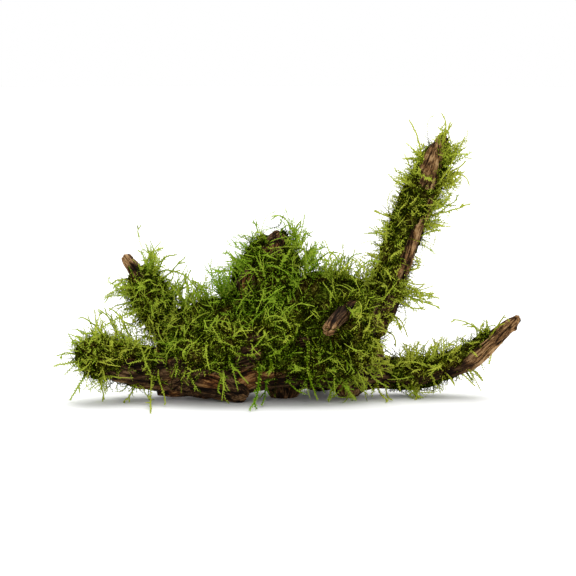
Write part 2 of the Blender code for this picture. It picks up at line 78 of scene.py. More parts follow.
LIMBS = (
    Limb(
        "driftwood_trunk",
        (
            (-58.0, -3.0, 11.0, 8.5),
            (-50.0, -2.0, 12.5, 11.5),
            (-37.0, -1.0, 16.5, 16.0),
            (-17.0, 0.0, 20.4, 17.2),
            (6.0, 1.0, 21.6, 17.6),
            (24.0, 4.0, 22.6, 17.6),
            (33.0, 5.0, 19.0, 13.0),
            (37.0, 5.5, 16.5, 8.6),
        ),
        flutes=5,
        pitch=0.6,
        squash=0.94,
        tip_roundness=0.5,
        knots=(
            (0.34, (0.0, -0.9, 0.4), 1.8, 6.0),
            (0.52, (0.0, -0.75, -0.6), 2.4, 5.0),
            (0.55, (0.0, 0.9, 0.3), 2.4, 8.0),
        ),
    ),
    Limb(
        "driftwood_trunk",
        (
            (-38.0, -7.0, 10.5, 7.0),
            (-30.0, -10.0, 8.4, 7.0),
            (-23.0, -12.0, 5.8, 5.8),
            (-18.0, -13.0, 3.4, 3.8),
        ),
        flutes=3,
        tip_roundness=0.5,
        reference=(0.0, 0.0, 1.0),
    ),
    Limb(
        "driftwood_trunk",
        ((-1.0, 2.5, 12.0, 7.6), (-1.2, 2.0, 7.0, 6.8), (-1.0, 1.0, 2.4, 6.4)),
        flutes=3,
        tip_roundness=0.6,
    ),
    Limb(
        "driftwood_trunk",
        ((26.0, 3.0, 12.0, 7.5), (28.0, 1.0, 7.0, 6.6), (29.0, 0.0, 2.6, 5.2)),
        flutes=3,
        tip_roundness=0.5,
        reference=(0.0, 0.0, 1.0),
    ),
    Limb(
        "driftwood_trunk",
        ((10.0, 8.0, 13.0, 8.5), (14.0, 17.0, 8.0, 7.5), (17.0, 23.0, 3.2, 5.4)),
        flutes=3,
        tip_roundness=0.5,
        reference=(0.0, 0.0, 1.0),
    ),
    Limb(
        "driftwood_left_arm",
        (
            (-44.0, -3.0, 13.0, 7.5),
            (-56.0, -5.0, 13.2, 8.4),
            (-66.0, -7.5, 14.8, 8.0),
            (-75.0, -10.0, 17.6, 7.4),
            (-81.5, -12.0, 19.8, 6.6),
            (-85.5, -13.0, 21.2, 5.4),
        ),
        flutes=4,
        knots=((0.55, (0.0, -0.5, -0.8), 1.2, 4.0),),
    ),
    Limb(
        "driftwood_left_branch",
        (
            (-47.0, 1.0, 22.0, 6.5),
            (-52.0, 2.0, 31.0, 5.8),
            (-57.5, 4.0, 40.0, 4.9),
            (-62.5, 6.0, 49.0, 4.0),
            (-67.0, 8.0, 56.5, 3.1),
            (-70.3, 9.5, 61.0, 2.3),
        ),
        flutes=4,
        pitch=0.4,
        tip_roundness=0.7,
        bared=0.86,
    ),
    Limb(
        "driftwood_centre_stump",
        (
            (-4.0, 3.0, 22.0, 15.5),
            (-7.0, 4.5, 36.0, 16.0),
            (-8.5, 6.0, 48.0, 14.0),
            (-7.0, 7.5, 58.0, 10.5),
            (-4.5, 9.0, 66.5, 6.8),
            (-2.6, 10.0, 71.0, 3.6),
        ),
        flutes=5,
        squash=0.66,
        tip_roundness=0.5,
        knots=((0.45, (-0.8, -0.6, 0.2), 2.0, 5.0),),
        bared=0.93,
    ),
    Limb(
        "driftwood_tall_branch",
        (
            (27.0, 5.0, 24.0, 9.4),
            (35.0, 6.0, 31.5, 8.2),
            (42.4, 7.0, 41.0, 7.3),
            (46.5, 8.5, 52.0, 6.8),
            (51.0, 10.0, 65.0, 7.0),
            (56.0, 12.0, 79.0, 6.9),
            (61.5, 14.0, 93.0, 6.6),
            (66.2, 15.5, 105.0, 5.0),
            (70.2, 16.5, 115.0, 1.7),
        ),
        flutes=4,
        tip_roundness=0.5,
        knots=((0.23, (0.9, -0.3, 0.1), 2.4, 3.6), (0.62, (-0.9, 0.3, 0.0), 1.0, 5.0)),
        bared=0.42,
    ),
    Limb(
        "driftwood_right_arm",
        (
            (27.0, 4.0, 12.5, 8.0),
            (38.0, 4.5, 10.6, 7.0),
            (50.0, 4.5, 9.8, 6.0),
            (62.0, 4.0, 11.0, 5.4),
            (74.0, 3.0, 14.4, 5.2),
            (84.0, 2.0, 19.4, 4.8),
            (93.0, 0.5, 26.8, 3.7),
            (99.0, -1.0, 32.4, 2.8),
            (102.6, -2.0, 35.4, 1.8),
        ),
        flutes=3,
        pitch=0.4,
        tip_roundness=0.4,
        knots=((0.90, (0.5, -0.4, -0.7), 1.1, 2.6), (0.62, (0.0, -0.8, -0.5), 0.9, 4.0)),
        bared=0.62,
    ),
    Limb(
        "driftwood_front_stub",
        (
            (36.0, 4.0, 35.5, 5.2),
            (31.5, -4.0, 39.8, 4.2),
            (27.0, -11.0, 40.2, 3.6),
            (22.0, -18.0, 36.5, 3.2),
            (18.6, -23.0, 33.0, 2.8),
        ),
        flutes=3,
        pitch=0.4,
        tip_roundness=0.35,
        reference=(0.0, 0.0, 1.0),
        bared=0.9,
    ),
)


def on_route(stations, shares):
    """Rows of the smooth curve through the stations: a Catmull-Rom curve."""
    stations = np.asarray(stations, float)
    last = len(stations) - 1
    place = np.clip(shares, 0.0, 1.0) * last
    piece = np.minimum(place.astype(int), last - 1)
    t = (place - piece)[:, None]
    a, b, c, d = (stations[np.clip(piece + k, 0, last)] for k in (-1, 0, 1, 2))
    squared, cubed = 2 * a - 5 * b + 4 * c - d, 3 * b - a - 3 * c + d
    return 0.5 * (2 * b + (c - a) * t + squared * t**2 + cubed * t**3)


def unit(vectors):
    return vectors / np.maximum(np.linalg.norm(vectors, axis=-1, keepdims=True), 1e-9)


def route_length(stations):
    return np.linalg.norm(np.diff(np.asarray(stations)[:, :3], axis=0), axis=1).sum()


def noise_at(points, size, length=None):
    """Smooth noise from about -1 to 1 at each point, with features of a size, and a length in Z."""
    scaled = points / np.array((size, size, length or size))
    flat = [noise.noise(p) for p in scaled.reshape(-1, 3)]
    return np.array(flat).reshape(points.shape[:-1])


def smooth_step(low, high, values):
    t = np.clip((values - low) / (high - low), 0.0, 1.0)
    return t * t * (3.0 - 2.0 * t)


FLUTE_DEPTH = 0.07  # share of a limb's radius
FLUTE_TURN = 5.0  # radians that the flutes turn by along a limb
GNARL_DEPTH = 0.10  # share of a limb's radius
GNARL_SIZE = 11.0
CAP_RINGS = (4, 1.5)  # least for a rounded tip, and more for each pitch in the limb's radius there
BARED_EDGE = (-0.08, 0.06)  # shares of a limb between which its bark gives out
WELD = 6.0  # how far from the crease between two limbs the wood swells
WELD_RISE = 0.25  # share of that
WELD_STEP = 1.5  # between the rounds that a limb's distance is measured from
GRAIN_TWIST = 0.012  # radians a millimetre
LIMBS_APART = 40.0  # in the noise, so that no two limbs are alike
FIBRES = (1.1, 15.0, 0.20, 0.35)  # width, length, height and how much lighter they are, partly pale weathered wood and partly painted highlight
FURROWS = (3.4, 24.0, 0.85, 0.75)  # width, length, depth and how much darker they are, partly the grooves' own colour and partly painted shade
FURROWS_APART = 7.0  # in the noise, from the fibres
FURROW_SHARE = 0.11  # of the noise's range to each side of its middle
LUMPS = (3.2, 7.0, 0.42, 0.35)  # width, length, height and how much lighter they are, partly pale weathered wood and partly painted highlight
LUMPS_APART = 13.0
SPLINTER_SIZE = 0.9
FULL_RELIEF_RADIUS = 7.0  # a slimmer limb's bark is less deep
LEAST_RELIEF = 0.55


class Skin:
    """A limb's surface: rings of points, the way out at each, and each one's place in the grain."""

    def __init__(self, limb):
        self.limb = limb
        length = route_length(limb.stations)
        last_radius = limb.stations[-1][3]
        tip = last_radius * limb.tip_roundness
        body = np.linspace(0.0, 1.0, int(length / limb.pitch))
        cap_rings = int(CAP_RINGS[0] + CAP_RINGS[1] * last_radius / limb.pitch)
        lean = np.linspace(0.0, math.pi / 2, cap_rings)[1:-1]
        shares = np.concatenate((body, np.ones(len(lean))))
        lean = np.concatenate((np.zeros(len(body)), lean))[:, None, None]
        rows = on_route(limb.stations, shares)
        step = 0.01
        ahead = on_route(limb.stations, shares + step)[:, :3]
        along = unit(ahead - on_route(limb.stations, shares - step)[:, :3])
        reference = np.array(limb.reference)
        first = unit(reference - along * (along @ reference)[:, None])
        second = np.cross(along, first)
        widest = rows[:, 3].max()
        angles = np.arange(int(math.tau * widest / limb.pitch)) * limb.pitch / widest
        angles = (angles * math.tau / (angles[-1] + angles[1]))[None, :]
        radial = first[:, None] * np.cos(angles)[..., None]
        radial = radial + second[:, None] * np.sin(angles)[..., None]
        centre, radius = rows[:, None, :3], rows[:, 3:4]
        shares = shares[:, None]

        flute = np.cos(limb.flutes * angles + FLUTE_TURN * shares) * FLUTE_DEPTH
        gnarl = noise_at(centre + radial * radius[..., None], GNARL_SIZE) * GNARL_DEPTH
        out = radius * (1.0 + flute + gnarl)
        for share, facing, height, width in limb.knots:
            around = np.arccos(np.clip(radial @ unit(np.array(facing)), -1.0, 1.0)) * radius / width
            out = out + height * np.exp(-(((shares - share) * length / width) ** 2) - around**2)
        out = out * (1.0 + (limb.squash - 1.0) * radial[..., 1] ** 2)

        along = along[:, None]
        self.points = centre + radial * out[..., None] * np.cos(lean) + along * tip * np.sin(lean)
        self.outwards = radial * np.cos(lean) + along * np.sin(lean)
        self.tip = rows[-1, :3] + along[-1, 0] * tip
        self.foot = rows[0, :3]
        turned = angles + GRAIN_TWIST * shares * length
        run = shares * length + lean[..., 0] * tip
        round_limb = (radius * np.cos(turned), radius * np.sin(turned))
        self.grain = np.stack((*round_limb, run + 0 * turned), -1)
        bared_from, bared_to = (limb.bared + edge for edge in BARED_EDGE)
        self.bare = smooth_step(bared_from, bared_to, shares + 0 * turned)
        self.broken = np.sin(lean[..., 0]) * limb.broken + 0 * turned

    def distance(self, points):
        """How far each point is from the limb's plain round surface, less than 0 inside it."""
        limb = self.limb
        count = int(route_length(limb.stations) / WELD_STEP)
        rows = on_route(limb.stations, np.linspace(0.0, 1.0, count))
        nearest = np.full(points.shape[:-1], np.inf)
        for x, y, z, radius in rows:
            off = (points - (x, y, z)) / (1.0, limb.squash, 1.0)
            nearest = np.minimum(nearest, np.linalg.norm(off, axis=-1) - radius)
        return nearest

    def swell(self, others):
        """Fills the creases with the limbs that it meets."""
        for other in others:
            near = np.clip(1.0 - np.abs(other.distance(self.points)) / WELD, 0.0, 1.0)
            self.points = self.points + self.outwards * (near**2 * WELD * WELD_RISE)[..., None]

    def roughen(self, place):
        """Raises the bark's fibres and lumps and cuts its furrows, down to the floor at most."""
        grain = self.grain + LIMBS_APART * place
        width, length, fibre_height, fibre_pale_and_highlight = FIBRES
        fibre = 1.0 - 2.0 * np.abs(noise_at(grain, width, length))
        width, length, furrow_depth, furrow_dark_and_shade = FURROWS
        furrow = np.exp(-((noise_at(grain + FURROWS_APART, width, length) / FURROW_SHARE) ** 2))
        width, length, lump_height, lump_pale_and_highlight = LUMPS
        lump = noise_at(grain + LUMPS_APART, width, length)
        ends = noise_at(self.points, SPLINTER_SIZE) * self.broken
        high = fibre * fibre_height - furrow * furrow_depth + lump * lump_height
        radius = np.linalg.norm(self.grain[..., :2], axis=-1)
        slim = np.clip(radius / FULL_RELIEF_RADIUS, LEAST_RELIEF, 1.0)
        # The relief mark: paler on fibres and lumps, darker in furrows; partly the bark's own
        # weathering, partly painted highlight on the ridges and painted shade in the furrows.
        self.relief = 0.5 + fibre_pale_and_highlight * fibre - furrow_dark_and_shade * furrow + lump_pale_and_highlight * lump
        self.points = self.points + self.outwards * (high * slim + ends)[..., None]
        for places in self.points, self.foot, self.tip:
            places[..., 2] = np.maximum(places[..., 2], 0.0)

    def faces(self, start):
        """Quads between the rings and a fan over each end, for points listed from start on."""
        rings, sides = self.points.shape[:2]
        ring, side = np.meshgrid(np.arange(rings - 1), np.arange(sides), indexing="ij")
        beside = (side + 1) % sides
        here, ahead = ring * sides, (ring + 1) * sides
        corners = (here + side, here + beside, ahead + beside, ahead + side)
        quads = np.stack(corners, -1).reshape(-1, 4) + start
        foot, tip = start + rings * sides, start + rings * sides + 1
        last = start + (rings - 1) * sides
        fans = [(foot, start + (i + 1) % sides, start + i) for i in range(sides)]
        fans += [(tip, last + i, last + (i + 1) % sides) for i in range(sides)]
        return quads.tolist() + fans

    def listed(self, values):
        """A value of every point in one list, with the two poles' at the end."""
        flat = values.reshape(-1, *values.shape[2:])
        return np.concatenate((flat, values[:1, 0], values[-1:, 0]))


def add_mark(mesh, name, values):
    """Keeps a number or a vector at each of the mesh's points."""
    kind, field = ("FLOAT_VECTOR", "vector") if values.ndim == 2 else ("FLOAT", "value")
    mark = mesh.attributes.new(name, kind, "POINT")
    mark.data.foreach_set(field, values.astype(np.float32).ravel())


class Wire:
    """One socket of a node tree. Arithmetic on it adds Math nodes."""

    def __init__(self, desk, socket):
        self.desk, self.socket = desk, socket

    def maths(self, operation, *values):
        return self.desk.add("ShaderNodeMath", {"operation": operation}, dict(enumerate(values)))

    def __add__(self, other):
        return self.maths("ADD", self, other)

    def __sub__(self, other):
        return self.maths("SUBTRACT", self, other)

    def __rsub__(self, other):
        return self.maths("SUBTRACT", other, self)

    def __mul__(self, other):
        return self.maths("MULTIPLY", self, other)

    def clipped(self):
        return self.desk.add("ShaderNodeClamp", inputs={0: self})

    def swing(self, strength):
        """What a pattern adds to a shade or takes from it, around its own middle."""
        return (self - 0.5) * strength

    def beyond(self, start, sharpness):
        """0 up to a value of the pattern, and past it soon 1."""
        return ((self - start) * sharpness).clipped()

    def beside(self, name):
        """Another output of the same node."""
        return Wire(self.desk, self.socket.node.outputs[name])

    __radd__ = __add__
    __rmul__ = __mul__


class Desk:
    """Where a node tree is laid out."""

    def __init__(self, tree):
        self.tree = tree

    def add(self, kind, settings=None, inputs=None, output=0):
        """Adds a node with its settings and the values or wires of its sockets."""
        node = self.tree.nodes.new(kind)
        for name, value in (settings or {}).items():
            if name == "stops":
                self.set_stops(node.color_ramp, value)
            else:
                setattr(node, name, value)
        for name, value in (inputs or {}).items():
            wires = value if isinstance(value, list) else [value]
            for wire in wires:
                if isinstance(wire, Wire):
                    self.tree.links.new(wire.socket, node.inputs[name])
                else:
                    node.inputs[name].default_value = wire
        return None if output is None else Wire(self, node.outputs[output])

    def set_stops(self, ramp, stops):
        while len(ramp.elements) < len(stops):
            ramp.elements.new(1.0)
        for element, (place, colour) in zip(ramp.elements, stops):
            element.position = place
            element.color = (*colour, 1.0)

    def mix(self, share, first, second):
        """A colour between two."""
        return self.add("ShaderNodeMix", {"data_type": "RGBA"}, {0: share, 6: first, 7: second}, 2)

    def ramp(self, stops, share):
        """A colour along a row of them."""
        return self.add("ShaderNodeValToRGB", {"stops": stops}, {0: share})

    def mark(self, name, output=2):
        """A mark kept on the mesh, as a number, or as a vector from output 1."""
        return self.add("ShaderNodeAttribute", {"attribute_name": name}, output=output)


def new_finish(name, **constants):
    """A material with its Principled shader's plain sockets set, and the desk of its nodes."""
    finish = bpy.data.materials.new(name)
    finish.use_nodes = True
    shader = finish.node_tree.nodes["Principled BSDF"]
    for socket, value in constants.items():
        shader.inputs[socket.replace("_", " ")].default_value = value
    return finish, Desk(finish.node_tree), shader


def join(wire, shader, socket):
    wire.desk.tree.links.new(wire.socket, shader.inputs[socket])


BARK_SHADE = 0.42
RUST_FROM = (0.52, 7.0)  # where in the noise of the patches, and how sharply
STRIPPING = (0.2, 1.4)  # everywhere on a bared place, and more with the blotches
BARK_STOPS = (  # from its cracks to its ridges, with painted shade in the cracks and painted highlight on the ridges
    (0.0, (0.004, 0.0015, 0.0005)),
    (0.45, (0.027, 0.012, 0.004)),
    (0.8, (0.074, 0.037, 0.013)),
    (1.0, (0.155, 0.090, 0.040)),
)
RUST_STOPS = (
    (0.0, (0.006, 0.002, 0.0005)),
    (0.45, (0.055, 0.018, 0.004)),
    (0.8, (0.170, 0.064, 0.014)),
    (1.0, (0.310, 0.155, 0.050)),
)
STRIPPED_STOPS = (
    (0.0, (0.016, 0.007, 0.002)),
    (0.35, (0.085, 0.042, 0.015)),
    (0.7, (0.230, 0.115, 0.040)),
    (1.0, (0.400, 0.250, 0.115)),
)


def weathered_bark():
    """Dark bark, paler and redder on its ridges and darker in its cracks, partly its own weathering
    and partly painted highlight and painted shade, with stripped places down to tan wood.
    """
    finish, desk, shader = new_finish("weathered_bark", Specular_IOR_Level=0.12)
    grain, relief, bare = desk.mark("grain", 1), desk.mark("relief"), desk.mark("bare")

    def noise_in(across, along, detail):
        """Noise with so many waves a millimetre across and along the grain."""
        scale = {0: grain, 1: (across, across, along)}
        place = desk.add("ShaderNodeVectorMath", {"operation": "MULTIPLY"}, scale)
        return desk.add("ShaderNodeTexNoise", {}, {"Vector": place, "Scale": 1.0, "Detail": detail})

    hairs = noise_in(2.1, 0.20, 3.0)
    patches = noise_in(0.16, 0.07, 2.0)
    blotches = noise_in(0.55, 0.25, 3.0)
    specks = noise_in(2.4, 1.6, 2.0)
    # Painted highlight on the ridges and painted shade in the cracks come in with the relief mark.
    light = relief.swing(0.9) + hairs.swing(2.4) + blotches.swing(1.6) + specks.swing(1.2)
    light = (light + BARK_SHADE).clipped()
    whole = desk.ramp(BARK_STOPS, light)
    whole = desk.mix(patches.beyond(*RUST_FROM), whole, desk.ramp(RUST_STOPS, light))
    stripped_share = (bare * (STRIPPING[0] + blotches * STRIPPING[1])).clipped()
    join(desk.mix(stripped_share, whole, desk.ramp(STRIPPED_STOPS, light)), shader, "Base Color")
    join(0.95 - light * 0.3, shader, "Roughness")
    rises = {"Strength": 0.5, "Distance": 0.5 * MM, "Height": hairs + specks * 0.5}
    join(desk.add("ShaderNodeBump", {}, rises), shader, "Normal")
    return finish


def placed(name, data):
    """Adds an object to the scene, at the origin."""
    thing = bpy.data.objects.new(name, data)
    bpy.context.scene.collection.objects.link(thing)
    return thing


bark = weathered_bark()
skins = [Skin(limb) for limb in LIMBS]
for skin in skins:
    skin.swell([other for other in skins if other is not skin])
for place, skin in enumerate(skins):
    skin.roughen(place)

wood_points, wood_faces = [], []
for node in dict.fromkeys(limb.node for limb in LIMBS):
    points, faces, marks = [], [], {"grain": [], "relief": [], "bare": []}
    for skin in skins:
        if skin.limb.node != node:
            continue
        faces += skin.faces(sum(len(p) for p in points))
        flat = skin.points.reshape(-1, 3)
        points.append(np.concatenate((flat, [skin.foot, skin.tip])))
        for name, values in marks.items():
            values.append(skin.listed(getattr(skin, name)))
    points = np.concatenate(points)
    mesh = bpy.data.meshes.new(node + "_bark")
    mesh.from_pydata(points * MM, [], faces)
    for name, values in marks.items():
        add_mark(mesh, name, np.concatenate(values))
    mesh.shade_smooth()
    mesh.materials.append(bark)
    piece = placed(node + "_bark", mesh)
    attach(piece, "root")
    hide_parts(node)
    wood_faces += [[corner + len(wood_points) for corner in face] for face in faces]
    wood_points += points.tolist()
wood = BVHTree.FromPolygons(wood_points, wood_faces)


# The moss. Java moss: wiry green stems that fork into loose flat sprays, set all along with tiny
# pointed leaves. It grips the bark with its oldest, brownest parts, fills up with short shoots, and
# sends its bright young ones out over the top. Each bed of it covers one limb.


@dataclass
class Bed:
    """The moss on one limb, and the pieces that its shoots are made in.

    Its thickness is how many shoots of felt, runners and strays root on a square millimetre. Its
    mat is as deep as a share of the bed, up to a number of millimetres. A tuft is a root, a tip,
    how many shoots go that way and how far they spread. A long shoot is the places that it goes
    through.
    """

    node: str
    thickness: tuple
    pieces: tuple
    mat: tuple
    tufts: tuple
    long_shoots: tuple


BEDS = (
    Bed(
        "moss_on_centre_stump",
        thickness=(0.40, 0.115, 0.018),
        pieces=("stump_moss",),
        mat=(0.58, 4.4),
        tufts=(
            ((-15, 4, 55), (-24, 2, 62), 12, 2.2),
            ((-19, 2, 44), (-29, 0, 53), 12, 2.6),
            ((3, 6, 67), (5, 5, 76), 10, 1.8),
            ((8, 6, 59), (12, 4, 67), 12, 2.2),
        ),
        long_shoots=(
            ((-12, 7, 62), (-12, 7, 73), (-14, 7, 78)),
            ((4, 7, 71), (0, 7, 79), (-6, 7, 80)),
            ((3, 7, 71), (5, 7, 75), (7, 7, 78)),
            ((7, 7, 66), (8, 7, 71), (12, 7, 73)),
            ((-18, 6, 56), (-23, 6, 62), (-26, 6, 64)),
            ((-17, 6, 56), (-25, 6, 56), (-32, 6, 55)),
            ((12, 6, 59), (20, 6, 64), (24, 6, 59)),
            ((-18, 7, 60), (-17, 7, 66), (-18, 7, 68)),
            ((-7, 5, 66), (-10, 5, 72), (-13, 5, 73)),
            ((5, 8, 67), (5, 8, 73), (7, 8, 75)),
        ),
    ),
    Bed(
        "moss_on_left_arm",
        thickness=(0.40, 0.06, 0.022),
        pieces=("left_arm_moss",),
        mat=(0.50, 2.4),
        tufts=(
            ((-78, -12, 24), (-82, -14, 35), 14, 2.8),
            ((-68, -10, 22), (-71, -12, 35), 14, 2.8),
            ((-84, -14, 19), (-92, -16, 18), 6, 2.6),
            ((-80, -13, 13), (-81, -14, 5), 6, 2.0),
            ((-60, -8, 10), (-62, -10, 3), 6, 2.4),
            ((-86, -14, 22), (-91, -16, 29), 6, 2.2),
        ),
        long_shoots=(
            ((-80, -12, 31), (-87, -12, 37), (-90, -12, 37)),
            ((-88, -12, 18), (-96, -12, 17), (-101, -12, 16)),
            ((-86, -12, 14), (-91, -12, 6), (-94, -12, 1)),
            ((-82, -12, 13), (-80, -12, 6), (-79, -12, 1)),
            ((-65, -12, 8), (-68, -13, 3), (-70, -14, 1)),
            ((-70, -10, 38), (-82, -16, 31), (-86, -20, 22)),
            ((-86, -11, 24), (-92, -11, 27), (-93, -11, 25)),
            ((-84, -10, 30), (-88, -10, 30), (-91, -10, 32)),
            ((-88, -14, 21), (-95, -14, 22), (-98, -14, 20)),
            ((-74, -9, 30), (-78, -9, 38), (-81, -9, 39)),
            ((-68, -8, 27), (-72, -8, 37), (-77, -8, 41)),
            ((-58, -18, 12), (-58, -24, 3), (-57, -43, 1)),
            ((-55, -18, 12), (-52, -22, 4), (-52, -24, 1)),
        ),
    ),
    Bed(
        "moss_on_left_branch",
        thickness=(0.40, 0.06, 0.022),
        pieces=("left_branch_moss",),
        mat=(0.55, 4.5),
        tufts=(
            ((-59, 4, 54), (-60, 3, 65), 14, 2.4),
            ((-64, 4, 46), (-74, 2, 47), 12, 2.4),
            ((-58, 3, 40), (-70, 1, 38), 8, 2.8),
            ((-50, 3, 44), (-43, 1, 54), 10, 2.6),
            ((-55, 2, 25), (-60, 0, 28), 8, 2.0),
        ),
        long_shoots=(
            ((-59, 5, 55), (-64, 5, 69), (-65, 5, 76)),
            ((-56, 5, 57), (-53, 5, 62), (-48, 5, 63)),
            ((-52, 5, 54), (-47, 5, 59), (-44, 5, 62)),
            ((-54, 5, 56), (-45, 5, 54), (-39, 5, 48)),
            ((-65, 5, 50), (-73, 5, 52), (-77, 5, 50)),
            ((-66, 5, 45), (-76, 5, 45), (-80, 5, 44)),
            ((-65, 5, 43), (-75, 5, 40), (-78, 5, 38)),
            ((-60, 5, 57), (-59, 5, 64), (-55, 5, 65)),
            ((-63, 5, 45), (-71, 5, 49), (-73, 5, 48)),
            ((-52, 5, 50), (-48, 5, 48), (-44, 5, 42)),
        ),
    ),
    Bed(
        "moss_on_tall_branch",
        thickness=(0.34, 0.025, 0.020),
        pieces=("tall_branch_moss",),
        mat=(0.36, 1.5),
        tufts=(
            ((69, 13, 103), (76, 11, 109), 30, 2.6),
            ((67, 12, 95), (75, 10, 98), 22, 2.6),
            ((69, 14, 109), (71, 13, 118), 9, 1.0),
            ((62, 10, 82), (70, 8, 87), 12, 2.4),
            ((59, 10, 75), (67, 8, 79), 14, 2.4),
            ((49, 4, 48), (60, 2, 44), 16, 3.0),
            ((46, 2, 36), (50, 0, 30), 6, 2.0),
            ((57, 10, 94), (50, 8, 98), 12, 2.0),
            ((61, 11, 104), (57, 10, 109), 6, 1.4),
            ((48, 8, 70), (41, 6, 74), 12, 2.2),
            ((45, 7, 58), (38, 5, 64), 8, 2.4),
        ),
        long_shoots=(
            ((61, 12, 105), (58, 12, 116), (55, 12, 122)),
            ((59, 12, 105), (54, 12, 105), (52, 12, 105)),
            ((69, 14, 108), (71, 12, 119), (70, 12, 123)),
            ((69, 13, 110), (72, 12, 118), (73, 12, 121)),
            ((70, 12, 103), (77, 12, 110), (79, 12, 114)),
            ((70, 12, 98), (77, 12, 101), (80, 12, 104)),
            ((68, 12, 95), (78, 12, 98), (82, 12, 93)),
            ((64, 12, 82), (74, 12, 85), (77, 12, 89)),
            ((61, 12, 79), (74, 12, 82), (82, 12, 85)),
            ((60, 12, 74), (67, 12, 76), (70, 12, 75)),
            ((57, 12, 69), (66, 12, 73), (69, 12, 73)),
            ((56, 12, 92), (49, 12, 95), (46, 12, 98)),
            ((54, 12, 84), (50, 12, 85), (47, 12, 87)),
            ((50, 12, 78), (44, 12, 80), (40, 12, 82)),
            ((48, 12, 69), (42, 12, 72), (37, 12, 72)),
            ((50, 6, 56), (56, 6, 56), (59, 6, 57)),
            ((49, 4, 53), (57, 4, 50), (62, 3, 50)),
            ((49, 3, 52), (58, 3, 47), (65, 2, 46)),
            ((48, 4, 49), (59, 3, 46), (68, 2, 44)),
            ((48, 5, 47), (59, 3, 43), (68, 2, 40)),
            ((48, 3, 44), (55, 3, 40), (62, 2, 39)),
            ((45, 4, 38), (51, 3, 34), (54, 2, 27)),
            ((43, 4, 30), (48, 4, 27), (49, 4, 22)),
            ((48, 6, 60), (54, 6, 61), (59, 6, 60)),
        ),
    ),
    Bed(
        "moss_on_right_arm",
        thickness=(0.34, 0.035, 0.016),
        pieces=("right_arm_moss",),
        mat=(0.36, 1.5),
        tufts=(
            ((54, 2, 13), (56, 0, 22), 12, 2.4),
            ((63, 2, 14), (65, 0, 23), 16, 2.6),
            ((74, 1, 17), (77, -1, 23), 6, 2.0),
            ((56, 1, 7), (58, -1, 2), 8, 2.4),
            ((80, 1, 13), (85, -1, 9), 5, 2.0),
            ((88, 0, 26), (92, -1, 31), 5, 1.6),
        ),
        long_shoots=(
            ((86, 1, 24), (84, 0, 31), (79, 0, 34), (74, -1, 35)),
            ((78, 1, 20), (78, 0, 26), (80, 0, 28)),
            ((86, 1, 25), (86, 0, 30), (88, 0, 33)),
            ((59, 1, 14), (58, 0, 20), (59, 0, 25)),
            ((70, 1, 15), (70, 0, 21), (73, 0, 24)),
            ((89, 0, 22), (91, 0, 19), (90, 0, 15)),
            ((76, 1, 13), (81, 0, 8), (84, 0, 5)),
            ((64, 1, 9), (66, 0, 7), (68, 0, 4)),
            ((52, 0, 6), (56, -3, 3), (60, -6, 1)),
            ((40, -1, 7), (42, -8, 3), (45, -14, 1)),
            ((90, -2, 27), (96, -3, 36), (99, -3, 34)),
            ((79, 1, 18), (85, 0, 24), (89, 0, 26)),
            ((52, 1, 12), (51, 0, 19), (53, 0, 22)),
            ((64, 0, 13), (65, 0, 20), (68, 0, 23)),
            ((44, -1, 7), (45, -8, 2), (47, -13, 1)),
            ((71, 0, 11), (73, 0, 9), (75, 0, 6)),
        ),
    ),
    Bed(
        "moss_on_trunk",
        thickness=(0.40, 0.125, 0.006),
        pieces=("trunk_moss_left", "trunk_moss_middle", "trunk_moss_right"),
        mat=(0.76, 17.0),
        tufts=(
            ((-44, 1, 38), (-45, -1, 50), 18, 3.0),
            ((-36, 1, 38), (-37, -1, 50), 20, 3.0),
            ((-26, 1, 44), (-28, -1, 56), 18, 3.0),
            ((10, 3, 53), (13, 1, 64), 14, 2.6),
            ((18, 3, 52), (21, 1, 62), 16, 3.4),
            ((26, 3, 51), (29, 1, 61), 16, 3.4),
            ((34, -6, 43), (29, -15, 39), 12, 2.2),
            ((36, -8, 36), (30, -15, 36), 10, 2.2),
            ((38, -6, 15), (43, -9, 13), 9, 3.0),
            ((36, -8, 23), (41, -9, 24), 9, 3.0),
            ((31, -8, 11), (32, -9, 4), 10, 3.0),
            ((25, -10, 10), (24, -11, 3), 8, 3.0),
            ((35, 4, 49), (37, 2, 59), 14, 3.0),
        ),
        long_shoots=(
            ((-11, -19, 16), (-12, -26, 6), (-15, -38, 1)),
            ((10, -20, 26), (10, -21, 15), (14, -23, 3)),
            ((-30, -17, 27), (-24, -20, 19), (-16, -22, 10)),
            ((-21, -19, 23), (-15, -22, 22), (-11, -20, 24)),
            ((-7, -20, 22), (-6, -22, 18), (-7, -22, 14)),
            ((5, -19, 32), (0, -22, 26), (-6, -23, 22)),
            ((26, -12, 10), (28, -14, 5), (31, -17, 2)),
            ((24, -17, 22), (29, -19, 16), (30, -19, 14)),
            ((-27, -16, 13), (-29, -20, 7), (-28, -20, 5)),
            ((-8, -18, 10), (-9, -22, 3), (-10, -26, 1)),
            ((1, -18, 10), (5, -22, 7), (7, -23, 6)),
            ((-23, 2, 41), (-28, 2, 49), (-29, 2, 54)),
            ((-36, 2, 40), (-37, 2, 49), (-41, 2, 52)),
            ((-44, 2, 37), (-39, 2, 48), (-34, 2, 49)),
            ((26, 2, 52), (29, 2, 62), (34, 2, 64)),
            ((20, 2, 55), (26, 2, 62), (32, 2, 60)),
            ((29, 2, 51), (36, 2, 60), (41, 2, 60)),
            ((15, 2, 54), (13, 2, 64), (15, 2, 66)),
        ),
    ),
)


LEAF_WIDEST = 0.4  # share of its length
LEAF_KEEL = 0.60  # share of its width


def new_leaf():
    """A leaf one unit long and wide, keeled like a boat, along X."""
    mesh = bpy.data.meshes.new("leaf")
    edges = [(LEAF_WIDEST, LEAF_KEEL, side) for side in (0.5, -0.5)]
    points = ((0.0, 0.0, 0.0), *edges, (1.0, 0.0, 0.0))
    mesh.from_pydata(points, [], ((0, 3, 1), (0, 2, 3), (0, 1, 2), (1, 3, 2)))
    add_mark(mesh, "tip", np.array([point[0] for point in points]))
    return bpy.data.objects.new("leaf", mesh)


